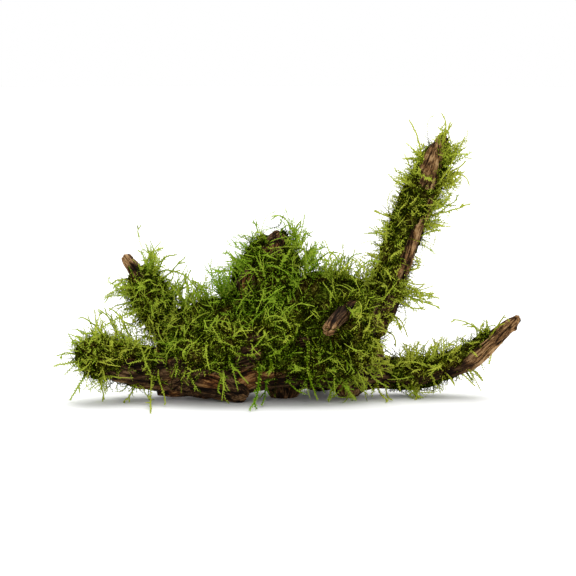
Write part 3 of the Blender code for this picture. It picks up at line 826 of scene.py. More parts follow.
STEM_RADIUS = 0.15
STEM_UNRIPENESS = 0.40  # how much less ripe a stem is than its leaves
LEAF_SPACING = 0.62
LEAF_SIZE = (1.25, 0.58)  # length, width
LEAF_SIZES = (0.7, 1.2)  # smallest and largest, as shares of that
LEAF_OPENING = math.radians(58.0)  # from the stem
LEAF_LEAST_OPENING = 0.45  # share of that, on a bare shoot
LEAF_OPENING_VARIETY = 0.25  # radians
LEAF_TWIST = 0.3  # radians out of the flat of the shoot
LEAF_VARIETY_AND_GLINTS = (-0.9, 0.5)  # in ripeness, partly each leaf's own colour and partly painted glints and painted shade
TONE_VARIETY = 0.3
LEAF_TIP_LIGHT = 0.35  # how much lighter a leaf's tip is than its root: painted light shining through the tip
LEAST_LEAFY = 0.05  # below which a shoot has no leaves


def leafy_shoots():
    """The nodes that make a stem, with leaves on both sides, along each chain of bare edges."""
    tree = bpy.data.node_groups.new("leafy_shoots", "GeometryNodeTree")
    sizes = {
        "Stem Radius": STEM_RADIUS * MM,
        "Leaf Spacing": LEAF_SPACING * MM,
        "Leaf Length": LEAF_SIZE[0] * MM,
        "Leaf Width": LEAF_SIZE[1] * MM,
        "Leaf Opening": LEAF_OPENING,
    }
    tree.interface.new_socket("Geometry", in_out="OUTPUT", socket_type="NodeSocketGeometry")
    for name, kind in (("Geometry", "Geometry"), ("Leaf", "Object"), ("Finish", "Material")):
        tree.interface.new_socket(name, in_out="INPUT", socket_type="NodeSocket" + kind)
    for name, size in sizes.items():
        socket = tree.interface.new_socket(name, in_out="INPUT", socket_type="NodeSocketFloat")
        socket.default_value = size
    desk = Desk(tree)
    given = desk.add("NodeGroupInput")

    def kept(name, kind="FLOAT"):
        return desk.add("GeometryNodeInputNamedAttribute", {"data_type": kind}, {"Name": name})

    def changed(wire, name, value):
        wanted = {0: wire, "Name": name, "Value": value}
        return desk.add("GeometryNodeStoreNamedAttribute", {}, wanted)

    def chance(low, high, seed):
        wanted = {2: low, 3: high, "Seed": seed}
        return desk.add("FunctionNodeRandomValue", {"data_type": "FLOAT"}, wanted, 1)

    def turned(facing, axis, angle):
        turn = desk.add("FunctionNodeAxisAngleToRotation", {}, {"Axis": axis, "Angle": angle})
        by = {"Rotation": facing, "Rotate By": turn}
        return desk.add("FunctionNodeRotateRotation", {"rotation_space": "LOCAL"}, by)

    routes = desk.add("GeometryNodeMeshToCurve", {}, {"Mesh": given.beside("Geometry")})
    lying = {"Curve": routes, "Normal": kept("flat", "FLOAT_VECTOR")}
    routes = desk.add("GeometryNodeSetCurveNormal", {"mode": "FREE"}, lying)
    section = desk.add("GeometryNodeCurvePrimitiveCircle", {}, {"Resolution": 3, "Radius": 1.0})
    thick = kept("thick") * given.beside("Stem Radius")
    tube = {"Curve": routes, "Profile Curve": section, "Scale": thick, "Fill Caps": True}
    stems = desk.add("GeometryNodeCurveToMesh", {}, tube)
    stems = changed(stems, "ripe", kept("ripe") - STEM_UNRIPENESS)

    spots = {"Curve": routes, "Length": given.beside("Leaf Spacing")}
    buds = desk.add("GeometryNodeCurveToPoints", {"mode": "LENGTH"}, spots)
    facing = buds.beside("Rotation")
    # Each leaf lighter or darker at random: partly its own colour, partly painted glints and painted
    # shade.
    buds = changed(buds, "ripe", kept("ripe") + chance(*LEAF_VARIETY_AND_GLINTS, 2))
    buds = changed(buds, "tone", kept("tone") + chance(-TONE_VARIETY, TONE_VARIETY, 6))
    number = desk.add("GeometryNodeInputIndex")
    side = number.maths("MODULO", number, 2.0) * math.pi + math.pi / 2
    facing = turned(facing, (0.0, 0.0, 1.0), side + chance(-LEAF_TWIST, LEAF_TWIST, 3))
    opened = LEAF_LEAST_OPENING + kept("leafy") * (1.0 - LEAF_LEAST_OPENING)
    opening = given.beside("Leaf Opening") * opened
    opening = opening + chance(-LEAF_OPENING_VARIETY, LEAF_OPENING_VARIETY, 4)
    facing = turned(facing, (0.0, 1.0, 0.0), opening - math.pi / 2)
    size = kept("leafy") * chance(*LEAF_SIZES, 5)
    width = given.beside("Leaf Width") * size
    stretch = {"X": given.beside("Leaf Length") * size, "Y": width, "Z": width}
    leaf = desk.add("GeometryNodeObjectInfo", {}, {"Object": given.beside("Leaf")}, "Geometry")
    leaves = desk.add(
        "GeometryNodeInstanceOnPoints",
        {},
        {
            "Points": buds,
            "Selection": number.maths("GREATER_THAN", kept("leafy"), LEAST_LEAFY),
            "Instance": leaf,
            "Rotation": facing,
            "Scale": desk.add("ShaderNodeCombineXYZ", {}, stretch),
        },
    )
    both = desk.add("GeometryNodeJoinGeometry", {}, {"Geometry": [stems, leaves]})
    whole = desk.add("GeometryNodeRealizeInstances", {}, {"Geometry": both})
    # Painted light: each leaf's tip lighter, as if lit through.
    whole = changed(whole, "ripe", kept("ripe") + kept("tip") * LEAF_TIP_LIGHT)
    finished = {"Geometry": whole, "Material": given.beside("Finish")}
    dressed = desk.add("GeometryNodeSetMaterial", {}, finished)
    desk.add("NodeGroupOutput", {}, {"Geometry": dressed}, None)
    return tree


# From near black for painted shade deep in the bed, through old brown stems and greens, to bright
# tips that partly carry painted light on the top and outside of the moss.
MOSS_OLD_IN_SHADE = (0.006, 0.004, 0.0003)
MOSS_DEEP = (0.012, 0.026, 0.0005)
MOSS_GREEN = (0.038, 0.098, 0.001)
MOSS_LIGHT = (0.085, 0.200, 0.003)
MOSS_BRIGHT = (0.250, 0.420, 0.026)
MOSS_OLIVE_DEEP = (0.036, 0.028, 0.0008)
MOSS_OLIVE = (0.110, 0.115, 0.003)
MOSS_OLIVE_LIGHT = (0.205, 0.230, 0.008)
MOSS_YELLOW = (0.470, 0.510, 0.060)


def java_moss():
    """Brown old stems to bright young tips, each from a deep green to a yellow one, with painted
    shade deep in the bed and painted light on the top and outside of the moss.
    """
    finish, desk, shader = new_finish("java_moss", Roughness=0.6, Specular_IOR_Level=0.0)
    ripe, tone = desk.mark("ripe"), desk.mark("tone")

    def ripening_and_light(*colours):
        last = len(colours) - 1
        return desk.ramp([(i / last, colour) for i, colour in enumerate(colours)], ripe)

    green = ripening_and_light(MOSS_OLD_IN_SHADE, MOSS_DEEP, MOSS_GREEN, MOSS_LIGHT, MOSS_BRIGHT)
    olive = ripening_and_light(MOSS_OLD_IN_SHADE, MOSS_OLIVE_DEEP, MOSS_OLIVE, MOSS_OLIVE_LIGHT, MOSS_YELLOW)
    join(desk.mix(tone, green, olive), shader, "Base Color")
    return finish


MAT_SHADE = 0.42
BROWN_FROM = (0.45, 5.0)  # where in the noise of the patches, and how sharply
# The mat's near-black stops are partly painted shade deep in the bed.
MAT_GREEN_STOPS = (
    (0.0, (0.004, 0.005, 0.0005)),
    (0.4, (0.008, 0.011, 0.0005)),
    (0.7, (0.030, 0.045, 0.002)),
    (1.0, (0.100, 0.150, 0.010)),
)
MAT_BROWN_STOPS = (
    (0.0, (0.006, 0.003, 0.0005)),
    (0.4, (0.015, 0.010, 0.001)),
    (0.7, (0.050, 0.040, 0.005)),
    (1.0, (0.140, 0.120, 0.020)),
)


def matted_moss():
    """The tangle of old stems and small leaves on the bark, too fine to be made one by one. Its
    near-black colours are partly the old stems' own and partly painted shade deep in the bed.
    """
    finish, desk, shader = new_finish("matted_moss", Roughness=0.9, Specular_IOR_Level=0.0)
    place = desk.add("ShaderNodeTexCoord").beside("Object")

    def noise_of(size, detail, distortion=0.0):
        wanted = {"Vector": place, "Scale": 1.0 / (size * MM), "Detail": detail}
        return desk.add("ShaderNodeTexNoise", {}, wanted | {"Distortion": distortion})

    tangle, lumps, patches = noise_of(0.9, 1.0, 1.5), noise_of(3.0, 2.0), noise_of(9.0, 1.0)
    light = (tangle.swing(3.2) + lumps.swing(1.6) + MAT_SHADE).clipped()
    green, brown = desk.ramp(MAT_GREEN_STOPS, light), desk.ramp(MAT_BROWN_STOPS, light)
    join(desk.mix(patches.beyond(*BROWN_FROM), green, brown), shader, "Base Color")
    rises = {"Strength": 0.8, "Distance": 0.8 * MM, "Height": tangle + lumps}
    join(desk.add("ShaderNodeBump", {}, rises), shader, "Normal")
    return finish


CLEAR_OF_BARK = 0.2  # nearer to the bark, a place's way out is the bark's own


def nearest_wood(points):
    """For each point, the way out of the wood there and how far out it is, less than 0 inside."""
    ways, heights = np.empty(points.shape), np.empty(len(points))
    for i, point in enumerate(points):
        surface, normal, _, distance = wood.find_nearest(point)
        off = Vector(point) - surface
        side = -1.0 if off.dot(normal) < 0.0 else 1.0
        ways[i] = off * (side / distance) if distance > CLEAR_OF_BARK else normal
        heights[i] = side * distance
    return ways, heights


THIN_PLACES = (  # x, y, z and radius of the places where the bark shows through
    (-40, -15, 8, 12),
    (-22, -18, 7, 12),
    (-56, -12, 8, 9),
    (-16, -19, 20, 9),
    (-66, -16, 14, 8),
    (-50, -16, 17, 8),
    (25, -17, 26, 8),
    (8, -19, 27, 7),
    (-14, -18, 32, 6),
    (-20, -5, 50, 9),
    (-18, -3, 58, 8),
    (-66, 2, 55, 6),
    (-6, 3, 66, 6),
    (-1, 4, 69, 7),
    (12, -15, 40, 9),
    (53, 5, 53, 5),
    (57, 6, 61, 5),
    (60, 7, 69, 5),
    (63, 8, 77, 5),
    (66, 9, 85, 5),
    (64, 9, 96, 6),
    (66, 10, 104, 6),
    (46, -1, 38, 10),
    (43, -4, 31, 8),
    (46, -3, 5, 6),
    (54, -3, 5, 6),
    (62, -3, 5, 6),
    (69, -3, 8, 6),
    (76, -3, 10, 6),
    (83, -2, 14, 6),
    (3, -18, 6, 8),
)


def thinness(places):
    """0 where the bark shows through, 1 where the moss is as thick as anywhere."""
    whole = np.ones(len(places))
    for x, y, z, radius in THIN_PLACES:
        whole *= np.clip(np.linalg.norm(places - (x, y, z), axis=1) / radius, 0.0, 1.0) ** 2
    return whole


DEEPEST_BED = 22.0
THINNEST_BED = 1.2  # a bed less deep than this has no shoots
THIN_REST = 0.12  # chance of a shoot where the moss is thinnest
LOW_BED = 4.0  # a bed less deep than this has no spikes
FILLED_SHARE = 0.6  # of its depth, the least that a bed has under its outside
CORE_SHARE = 0.3  # of its depth, the least distance of a bed's middle from its outside
SPIKE_RADIUS = 2.2


class BedSolid:
    """The solid of a bed of moss, a sleeve with its longest shoots as spikes."""

    def __init__(self, node):
        form = bmesh.new()
        form.from_mesh(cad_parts[node].data)
        bmesh.ops.triangulate(form, faces=form.faces)
        self.corners = np.array([corner.co for corner in form.verts]) / MM
        self.triangles = np.array([[corner.index for corner in face.verts] for face in form.faces])
        self.tree = BVHTree.FromPolygons(self.corners.tolist(), self.triangles.tolist())
        form.free()

    def filled(self, places, ways, depths):
        """True where the solid goes on down to the bark, and not on a spike."""
        just_inside = 0.05
        rays = [self.tree.ray_cast(p - just_inside * w, -w) for p, w in zip(places, ways)]
        solid_below = np.array([ray[3] or 0.0 for ray in rays]) > FILLED_SHARE * depths
        cores = [self.tree.find_nearest(core)[3] for core in places - ways * depths[:, None] / 2.0]
        thick = np.array(cores) > np.minimum(CORE_SHARE * depths, SPIKE_RADIUS)
        return solid_below & thick | (depths < LOW_BED)

    def rooting_places(self, thickness, rng):
        """Places all over the outside, the way out there, and how deep the moss is under each."""
        a, b, c = (self.corners[self.triangles[:, k]] for k in range(3))
        areas = np.linalg.norm(np.cross(b - a, c - a), axis=1) / 2.0
        count = int(areas.sum() * thickness)
        evenly = (np.arange(count) + rng.random(count)) / count * areas.sum()
        chosen = np.searchsorted(np.cumsum(areas), evenly).clip(0, len(areas) - 1)
        u, v = rng.random((2, count, 1))
        u, v = np.where(u + v > 1.0, 1.0 - u, u), np.where(u + v > 1.0, 1.0 - v, v)
        places = a[chosen] + u * (b - a)[chosen] + v * (c - a)[chosen]
        ways, depths = nearest_wood(places)
        bed = (depths > THINNEST_BED) & self.filled(places, ways, depths)
        bed &= rng.random(len(places)) < thinness(places) + THIN_REST
        return places[bed], ways[bed], depths[bed]

    def depths_over(self, places, ways):
        """How far the bed stands out from each place, less than 0 where the place is bare."""
        depths = np.zeros(places.shape[:-1])
        for spot in np.ndindex(depths.shape):
            way = Vector(ways[spot])
            distance = self.tree.ray_cast(Vector(places[spot]) + way * DEEPEST_BED, -way)[3]
            depths[spot] = DEEPEST_BED - (distance or 2.0 * DEEPEST_BED)
        beside = [np.roll(depths, (i, j), (0, 1)) for i in (-1, 0, 1) for j in (-2, -1, 0, 1, 2)]
        return np.median(beside, axis=0)


def mat_rises(depths, share, most):
    """How high the old growth stands off the bark in a bed of these depths."""
    return np.minimum(depths * share, most)


MATTED_BED = 0.8  # a bed less deep than this has no mat
MAT_LUMPS = ((2.6, 0.5), (1.1, 0.4))  # size, height
MAT_SINK = 1.2  # how far the mat lies under the bark where the moss is thinnest
MAT_FADE = 1.6  # how fast it comes up from there, over 1
MOSS_HEM = 2.6  # how high over the floor the bed ends


def matted(skin, solid, share, most):
    """The old growth matted down on the bark: the limb's own skin, raised by a share of the bed."""
    mat = copy.copy(skin)
    mat.points, mat.outwards = skin.points[::2, ::2], skin.outwards[::2, ::2]
    depths = solid.depths_over(mat.points, mat.outwards)
    cover = thinness(mat.points.reshape(-1, 3)).reshape(depths.shape)
    rises = np.where(depths > MATTED_BED, mat_rises(depths, share, most), -1.0)
    rises = rises * (MAT_FADE * cover - (MAT_FADE - 1.0)) - MAT_SINK * (1.0 - cover)
    rises += sum(noise_at(mat.points, size) * height for size, height in MAT_LUMPS)
    mat.points = mat.points + mat.outwards * rises[..., None]
    mat.points[..., 2] = np.maximum(mat.points[..., 2], MOSS_HEM)
    return mat


@dataclass
class Habit:
    """How one kind of shoot grows.

    It forks by this chance at each step, on a stem this stout. It sets off more or less upright
    and scattered, sags, wanders, and climbs to its own height. It is this ripe at the mat, and
    ripens outwards: felt by the millimetre, the others over the depth of the bed. That ripening
    is partly painted shade, darker deep in the bed and lighter at its outside.
    """

    forks: float
    stout: float
    upright: float = 0.0
    scatter: float = 0.0
    sag: float = 0.0
    wander: float = 0.0
    climb: float = 0.0
    ripe: float = 0.0
    ripening_and_light: float = 0.0

    def headings(self, ways, rng):
        scattered = ways * self.upright + rng.normal(0.0, self.scatter, ways.shape)
        return unit(scattered + (0.0, 0.0, -self.sag))


FELT = Habit(
    forks=0.03, stout=0.8, upright=0.5, scatter=0.9, wander=0.25, climb=0.30, ripe=0.28, ripening_and_light=0.30
)
RUNNERS = Habit(
    forks=0.15,
    stout=1.2,
    upright=0.35,
    scatter=0.75,
    sag=0.1,
    wander=0.04,
    climb=0.15,
    ripe=0.22,
    ripening_and_light=0.72,
)
STRAYS = Habit(
    forks=0.12, stout=1.8, upright=1.0, scatter=0.55, wander=0.06, ripe=0.50, ripening_and_light=1.0
)
LONG_SHOOTS = Habit(forks=0.14, stout=3.0)
TUFTS = Habit(forks=0.20, stout=1.9)
SHOOT_STEP = 1.5
CURL = 0.022  # how much a shoot turns at each step
FULL_PULL = 4.0  # how far off its own height a shoot makes for it with all its strength
STOOP = 4.0  # how much more strongly it bends back down than it climbs
BARK_CLEARANCE = 0.4


def grow(roots, headings, lengths, aims, habit, rng):
    """Lets shoots grow from their roots, each curling its own way and making for its own height."""
    tips, trail, rises = roots, [roots], []
    curls = rng.normal(0.0, CURL, roots.shape)
    for _ in range(math.ceil(lengths.max() / SHOOT_STEP)):
        ways, heights = nearest_wood(tips)
        rises.append(heights)
        pull = np.clip((aims - heights) / FULL_PULL, -STOOP, 1.0) * habit.climb
        wandered = headings + curls + rng.normal(0.0, habit.wander, tips.shape)
        headings = unit(wandered + ways * pull[:, None])
        clear = np.maximum(BARK_CLEARANCE - heights, 0.0)
        tips = tips + headings * SHOOT_STEP + ways * clear[:, None]
        tips[:, 2] = np.maximum(tips[:, 2], MOSS_HEM)
        trail.append(tips)
    rises.append(rises[-1])
    counts = np.ceil(lengths / SHOOT_STEP).astype(int) + 1
    return np.stack(trail, axis=1), counts, np.stack(rises, axis=1)


LOW_MOSS = (6.0, 32.0)  # up to where the moss is darker towards the bottom
LOW_DARKENING = 0.18  # how much darker the moss is there
PAINTED_TOP_LIGHT = 0.12  # how much lighter the shoots on top of a limb are than those at its sides: painted light from above


def lowness(paths):
    """1 at the foot of the moss, 0 in its upper half."""
    return 1.0 - smooth_step(*LOW_MOSS, paths[..., 2])


FELT_RISE = 0.9  # over the mat
FELT_LENGTH = (2.0, 5.0)
FELT_VARIETY = 0.14  # in ripeness
FELT_LEAFY = (0.0, 0.6, 0.8)


def felt(roots, ways, depths, mats, rng):
    """The short old shoots that creep over the mat."""
    count = len(roots)
    headings = FELT.headings(ways, rng)
    aims = mats + rng.uniform(0.0, FELT_RISE, count)
    lengths = rng.uniform(*FELT_LENGTH, count)
    paths, counts, rises = grow(roots, headings, lengths, aims, FELT, rng)
    # Lighter with height over the mat, partly ripening and partly painted shade deep in the bed;
    # painted light on top of the limb; darker towards the bottom.
    ripe = FELT.ripe + FELT.ripening_and_light * (rises - mats[:, None]) + PAINTED_TOP_LIGHT * ways[:, 2:]
    ripe = ripe + rng.normal(0.0, FELT_VARIETY, (count, 1)) - LOW_DARKENING * lowness(paths)
    return FELT, paths, counts, ripe, rng.choice(FELT_LEAFY, count)


LEAST_SPARE = 1.5  # how deep a bed is over its mat at the least
RUNNER_RISE = 0.7  # share of what the bed has over its mat
RUNNER_LENGTH = (4.0, 2.0, 4.0, 20.0)  # shape and scale, least and most
RUNNER_LEAFY = (0.62, 0.92)
THREADS = 0.06  # share of the runners that are long and nearly bare
THREAD_EXTRA = 3.0  # in length
THREAD_RIPENESS = 0.4
THREAD_LEAFY = 0.5


def runners(roots, ways, depths, mats, rng):
    """The long young shoots that lie over the top of the bed."""
    count = len(roots)
    spare = np.maximum(depths - mats, LEAST_SPARE)
    headings = RUNNERS.headings(ways, rng)
    aims = mats + spare * rng.uniform(0.0, RUNNER_RISE, count)
    shape, scale, least, most = RUNNER_LENGTH
    lengths = rng.gamma(shape, scale, count).clip(least, most)
    threads = rng.random(count) < THREADS
    lengths = np.where(threads, THREAD_EXTRA + lengths, lengths)
    aims = np.where(threads, depths, aims)
    paths, counts, rises = grow(roots, headings, lengths, aims, RUNNERS, rng)
    # Lighter with height over the mat, partly ripening and partly painted shade deep in the bed;
    # painted light on top of the limb; darker towards the bottom.
    ripe = RUNNERS.ripe + RUNNERS.ripening_and_light * (rises - mats[:, None]) / spare[:, None]
    ripe = ripe + THREAD_RIPENESS * threads[:, None] + PAINTED_TOP_LIGHT * ways[:, 2:]
    ripe = ripe - LOW_DARKENING * lowness(paths)
    leafy = rng.uniform(*RUNNER_LEAFY, count)
    return RUNNERS, paths, counts, ripe, np.where(threads, THREAD_LEAFY, leafy)


STRAY_LENGTH = (1.5, 5.0)  # over what the bed has over its mat
STRAY_LEAFY = (1.0, 1.35)


def strays(roots, ways, depths, mats, rng):
    """Single shoots that stand out of the bed into the open."""
    count = len(roots)
    headings = STRAYS.headings(ways, rng)
    lengths = depths - mats + rng.uniform(*STRAY_LENGTH, count)
    paths, counts, rises = grow(roots, headings, lengths, depths, STRAYS, rng)
    spare = np.maximum(depths - mats, LEAST_SPARE)
    # Lighter with height over the mat, partly ripening and partly painted shade deep in the bed.
    ripe = STRAYS.ripe + STRAYS.ripening_and_light * (rises - mats[:, None]) / spare[:, None]
    return STRAYS, paths, counts, ripe, rng.uniform(*STRAY_LEAFY, count)


LONG_POINTS = 16
LONG_WANDER = 0.10
LONG_RIPE = (0.75, 1.2)  # root to tip
LONG_LEAFY = (0.8, 1.15, 1.4)


def long_shoots(routes, rng):
    """The longest shoots of all, each along a route of its own from the bark."""
    rooted = [(tuple(wood.find_nearest(route[0])[0]), *route) for route in routes]
    shares = np.linspace(0.0, 1.0, LONG_POINTS)
    paths = np.array([on_route(route, shares) for route in rooted])
    paths += rng.normal(0.0, LONG_WANDER, paths.shape)
    counts = np.full(len(paths), LONG_POINTS)
    ripe = np.broadcast_to(np.linspace(*LONG_RIPE, LONG_POINTS), paths.shape[:2])
    return LONG_SHOOTS, paths, counts, ripe, rng.choice(LONG_LEAFY, len(paths))


TUFT_POINTS = 8
TUFT_FOOT = 0.6  # how far its roots spread, as a share of how far its tips do
TUFT_BEND = 0.15  # share of its length
TUFT_RIPE = (0.75, 1.35)  # root to tip
TUFT_VARIETY = 0.08  # in ripeness
TUFT_LEAFY = (0.9, 1.3)


def tufted(tufts, rng):
    """Bunches of shoots that fan out of the bed together."""
    paths, shares = [], np.linspace(0.0, 1.0, TUFT_POINTS)
    for root, tip, count, spread in tufts:
        first = root + rng.normal(0.0, TUFT_FOOT * spread, (count, 3))
        last = tip + rng.normal(0.0, spread, (count, 3))
        bend = rng.normal(0.0, TUFT_BEND * math.dist(root, tip), (count, 3))
        routes = zip(first, (first + last) / 2.0 + bend, last)
        paths += [on_route(route, shares) for route in routes]
    ripe = np.linspace(*TUFT_RIPE, TUFT_POINTS) + rng.normal(0.0, TUFT_VARIETY, (len(paths), 1))
    counts = np.full(len(paths), TUFT_POINTS)
    return TUFTS, np.array(paths), counts, ripe, rng.uniform(*TUFT_LEAFY, len(paths))


GREENEST = 0.04  # the tone in the middle, from 0 for green to 1 for yellow
YELLOWING = ((-20.0, -65.0, 0.44), (6.0, 48.0, 0.64))  # from x, to x, how much yellower
TONE_PATCHES = (13.0, 0.5)  # size, how much they differ
SHOOT_TONES = 0.10  # how much single shoots differ
YOUNG = (0.85, 0.25)  # from what ripeness of a shoot's tip on, and how much yellower
MOSS_MIDDLE = (-6.0, 20.0)  # x and z that the open moss is measured from
OPEN_MOSS = (20.0, 52.0)  # from where on the moss is painted lighter: painted light on its outermost shoots
PAINTED_OPEN_LIGHT = 0.26  # how much lighter the moss is painted there
RIPE_VARIETY = 0.06


def coloured(paths, ripe, rng):
    """How yellow each shoot is, and how ripe it is along its path, with painted light added on the
    outside of the moss.
    """
    tone = GREENEST
    for start, end, rise in YELLOWING:
        tone = tone + rise * smooth_step(start, end, paths[:, 0, 0])
    size, rise = TONE_PATCHES
    tone = tone + rise * noise_at(paths[:, 0], size) + rng.normal(0.0, SHOOT_TONES, len(paths))
    young, yellower = YOUNG
    tone = tone + yellower * (ripe[:, -1] > young)
    x, z = MOSS_MIDDLE
    lit_outside = smooth_step(*OPEN_MOSS, np.hypot(paths[..., 0] - x, paths[..., 2] - z))
    # Painted light on the outside of the moss.
    return tone, ripe + PAINTED_OPEN_LIGHT * lit_outside + rng.normal(0.0, RIPE_VARIETY, (len(paths), 1))


SPRIG_POINTS = 4  # a sprig is a side shoot
SPRIG_LENGTH = (2.5, 5.5)
SPRIG_SHORTENING = (1.1, 0.7)  # share of that at a shoot's root, and how much less at its tip
SPRIG_OPENING = math.radians(48.0)
SPRIG_VARIETY = 0.15
SPRIG_BEND = 0.25
FLOOR_CLEARANCE = 0.6


def sprigs(paths, counts, flats, forks, rng):
    """Side shoots off each path, to the left and right by turns, in the spray's own flat plane."""
    places = np.arange(paths.shape[1])
    forked = (places > 0) & (places < counts[:, None] - 1) & (rng.random(paths.shape[:2]) < forks)
    rows, at = np.nonzero(forked)
    forward = unit(paths[rows, at + 1] - paths[rows, at])
    sideways = unit(np.cross(forward, flats[rows])) * np.where(at % 2, 1.0, -1.0)[:, None]
    heading = forward * math.cos(SPRIG_OPENING) + sideways * math.sin(SPRIG_OPENING)
    heading = unit(heading + rng.normal(0.0, SPRIG_VARIETY, heading.shape))
    whole, shortening = SPRIG_SHORTENING
    lengths = rng.uniform(*SPRIG_LENGTH, len(rows)) * (whole - shortening * at / counts[rows])
    run = np.linspace(0.0, 1.0, SPRIG_POINTS)[None, :, None] * lengths[:, None, None]
    bend = run**2 / lengths[:, None, None] * SPRIG_BEND
    grown = paths[rows, at][:, None] + heading[:, None] * run + forward[:, None] * bend
    grown[..., 2] = np.maximum(grown[..., 2], FLOOR_CLEARANCE)
    return grown, rows, at


RIPENING = 0.12  # from a shoot's root to its tip
RIPEST = 1.4  # past 1, so that few leaves of the outermost shoots fall below it
STEM_TAPER = (1.05, 0.35)  # its stoutness at the root, and how much less it is at the tip
LEAF_TAPER = 0.45  # how much less leafy a shoot is at its tip


def shoot_marks(counts, tone, ripe, leafy, stout, flats):
    """How ripe each path is, with its painted light and shade, how thick and leafy, root to tip, and
    how its spray lies.
    """
    run = np.clip(np.arange(ripe.shape[1]) / (counts[:, None] - 1), 0.0, 1.0)
    return {
        "tone": np.broadcast_to(np.clip(tone, 0.0, 1.0)[:, None], ripe.shape),
        "ripe": np.clip(ripe + RIPENING * run, 0.0, RIPEST),
        "thick": stout * (STEM_TAPER[0] - STEM_TAPER[1] * run),
        "leafy": leafy[:, None] * (1.0 - LEAF_TAPER * run**2),
        "flat": np.broadcast_to(flats[:, None], (*ripe.shape, 3)),
    }


SPRAY_TURN = 0.35  # how far a shoot's spray is turned from the lie of the bed
SPRIG_SHARE = 0.85  # of the leafiness and stoutness of its shoot


def strands_of(batches, rng):
    """The paths, marks and roots' x of each batch of shoots, and of the sprigs on them."""
    strands = []
    for habit, paths, counts, ripe, leafy, flats in batches:
        tone, ripe = coloured(paths, ripe, rng)
        flats = unit(flats + rng.normal(0.0, SPRAY_TURN, flats.shape))
        marks = shoot_marks(counts, tone, ripe, leafy, habit.stout, flats)
        strands.append((paths, counts, marks, paths[:, 0, 0]))
        grown, rows, at = sprigs(paths, counts, flats, habit.forks, rng)
        counts = np.full(len(grown), SPRIG_POINTS)
        ripe = np.broadcast_to(ripe[rows, at][:, None], grown.shape[:2])
        leafy, stout = SPRIG_SHARE * leafy[rows], SPRIG_SHARE * habit.stout
        marks = shoot_marks(counts, tone[rows], ripe, leafy, stout, flats[rows])
        strands.append((grown, counts, marks, paths[rows, 0, 0]))
    return strands


def gathered(strands):
    """Puts strands together as points, edges and marks, without the points past each end."""
    points, edges, marks = [], [], {}
    for paths, counts, values in strands:
        keep = np.arange(paths.shape[1]) < counts[:, None]
        number = np.cumsum(keep).reshape(keep.shape) - 1 + sum(len(p) for p in points)
        pair = keep[:, 1:]
        points.append(paths[keep])
        edges.append(np.stack((number[:, :-1][pair], number[:, 1:][pair]), -1))
        for name, value in values.items():
            marks.setdefault(name, []).append(value[keep])
    marks = {name: np.concatenate(values) for name, values in marks.items()}
    return np.concatenate(points), np.concatenate(edges), marks


def lift_off_floor(mesh):
    """Presses what hangs below the floor up to it."""
    corners = np.empty(len(mesh.vertices) * 3, np.float32)
    mesh.vertices.foreach_get("co", corners)
    corners[2::3] = np.maximum(corners[2::3], 0.0)
    mesh.vertices.foreach_set("co", corners)


def spread_map(mesh):
    """Lays every face out by its tone and its ripeness with painted light and shade, so that one
    small picture holds the colours.
    """
    margin, span, face_size = 0.02, 0.95, 0.006
    corners = np.empty(len(mesh.loops), np.int32)
    mesh.loops.foreach_get("vertex_index", corners)
    places = []
    for name in ("tone", "ripe"):
        values = np.empty(len(mesh.vertices), np.float32)
        mesh.attributes[name].data.foreach_get("value", values)
        places.append(margin + span * values.clip(0.0, 1.0)[corners])
    turn = np.arange(len(corners)) % 4
    places[0] += face_size * (turn % 2)
    places[1] += face_size * (turn // 2)
    layer = mesh.uv_layers.new(name="OFBake")
    layer.data.foreach_set("uv", np.stack(places, -1).astype(np.float32).ravel())


def mat_mesh(name, bed, solid):
    """A bed's mat over the skin of the limb that it grows on."""
    limb = bed.node.replace("moss_on", "driftwood")
    skin = next(skin for skin in skins if skin.limb.node == limb)
    mat = matted(skin, solid, *bed.mat)
    poles = [mat.foot, mat.tip - mat.outwards[-1, 0]]
    mesh = bpy.data.meshes.new(name)
    points = np.concatenate((mat.points.reshape(-1, 3), poles))
    mesh.from_pydata(points * MM, [], mat.faces(0))
    # The mat's dark finish is partly painted shade under the shoots.
    mesh.materials.append(mat_finish)
    mesh.shade_smooth()
    return mesh


def shoots_mesh(name, strands):
    """The stems and leaves that the nodes make along a piece's strands."""
    points, edges, marks = gathered(strands)
    mesh = bpy.data.meshes.new(name + "_routes")
    mesh.from_pydata(points * MM, edges, [])
    for mark, values in marks.items():
        add_mark(mesh, mark, values)
    routes = placed(name + "_routes", mesh)
    maker = routes.modifiers.new("shoots", "NODES")
    maker.node_group = shoot_tree
    maker[inputs["Leaf"]], maker[inputs["Finish"]] = leaf, moss
    graph = bpy.context.evaluated_depsgraph_get()
    grown = bpy.data.meshes.new_from_object(routes.evaluated_get(graph))
    bpy.data.objects.remove(routes)
    lift_off_floor(grown)
    spread_map(grown)
    return grown


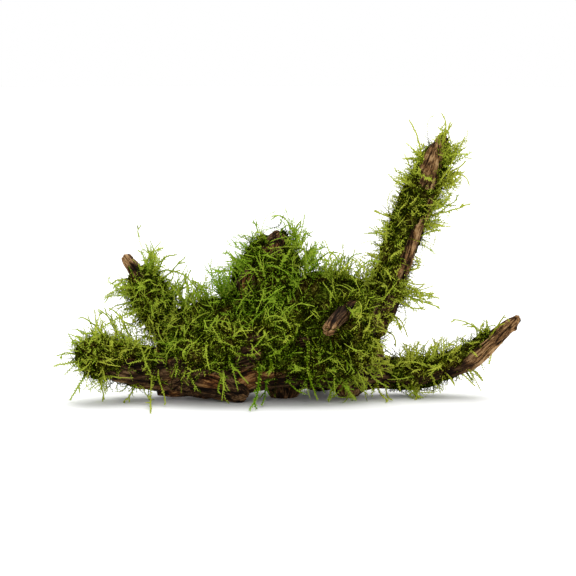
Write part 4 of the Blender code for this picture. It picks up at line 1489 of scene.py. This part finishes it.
ROOT_DEPTH = 0.3  # in the mat
shoot_tree, moss, mat_finish, leaf = leafy_shoots(), java_moss(), matted_moss(), new_leaf()
inputs = {socket.name: socket.identifier for socket in shoot_tree.interface.items_tree}
for number, bed in enumerate(BEDS):
    rng = np.random.default_rng(number)
    solid = BedSolid(bed.node)
    batches = []
    for make, thickness in zip((felt, runners, strays), bed.thickness):
        places, ways, depths = solid.rooting_places(thickness, rng)
        mats = mat_rises(depths, *bed.mat)
        roots = places - ways * (depths - mats + ROOT_DEPTH)[:, None]
        batches.append((*make(roots, ways, depths, mats, rng), ways))
    for batch in long_shoots(bed.long_shoots, rng), tufted(bed.tufts, rng):
        batches.append((*batch, rng.normal(size=(len(batch[1]), 3))))
    strands = strands_of(batches, rng)

    mat_name = bed.node.replace("moss_on_", "") + "_moss_mat"
    made = [(mat_name, mat_mesh(mat_name, bed, solid))]
    roots_x = np.concatenate([strand[3] for strand in strands])
    cuts = np.quantile(roots_x, np.linspace(0.0, 1.0, len(bed.pieces) + 1))
    for name, low, high in zip(bed.pieces, cuts, cuts[1:]):
        mine = []
        for paths, counts, marks, x in strands:
            inside = (x >= low) & ((x < high) | (high == cuts[-1]))
            marks = {mark: values[inside] for mark, values in marks.items()}
            mine.append((paths[inside], counts[inside], marks))
        made.append((name, shoots_mesh(name, mine)))
    for name, mesh in made:
        piece = placed(name, mesh)
        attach(piece, "root")
        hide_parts(bed.node)
bpy.data.objects.remove(leaf)


# The stage: a plain pale floor, soft light from all round with a large soft lamp above, and the
# camera at the photograph's angle.

FLOOR_RADIUS = 4000.0
FLOOR_SIDES = 64
FLOOR_COLOUR = (0.86, 0.86, 0.86, 1.0)
LAMP_FROM = (0.1, 0.30, 1.0)
LAMP_WIDTH = math.radians(50.0)
LAMP_STRENGTH = 2.6
CAMERA_AIM = (1.3, 0.0, 48.8)
CAMERA_DISTANCE = 1000.0
CAMERA_RISE = math.radians(7.0)
CAMERA_LENS = 142.0
CAMERA_SIGHT = 50000.0

disc = bpy.data.meshes.new("floor")
angles = np.arange(FLOOR_SIDES) * math.tau / FLOOR_SIDES
rim = np.stack((np.cos(angles), np.sin(angles), 0.0 * angles), -1) * FLOOR_RADIUS * MM
disc.from_pydata(rim, [], [range(FLOOR_SIDES)])
paint, _, _ = new_finish("floor_paint", Base_Color=FLOOR_COLOUR, Roughness=0.9)
disc.materials.append(paint)
floor = placed("floor", disc)

world = bpy.data.worlds.new("studio")
world.use_nodes = True
sky = world.node_tree.nodes["Background"].inputs
sky["Color"].default_value, sky["Strength"].default_value = (1.0, 1.0, 1.0, 1.0), 1.0
bpy.context.scene.world = world

overhead = bpy.data.lights.new("overhead", "SUN")
overhead.angle = LAMP_WIDTH
overhead.energy = LAMP_STRENGTH
lamp = placed("overhead", overhead)
lamp.rotation_euler = Vector(LAMP_FROM).to_track_quat("Z", "Y").to_euler()

lens = bpy.data.cameras.new("camera")
lens.lens = CAMERA_LENS
lens.clip_end = CAMERA_SIGHT * MM
camera = placed("camera", lens)
away = Vector((0.0, -math.cos(CAMERA_RISE), math.sin(CAMERA_RISE)))
camera.location = (Vector(CAMERA_AIM) + away * CAMERA_DISTANCE) * MM
camera.rotation_euler = away.to_track_quat("Z", "Y").to_euler()
bpy.context.scene.camera = camera
bpy.context.scene.view_settings.view_transform = "Standard"
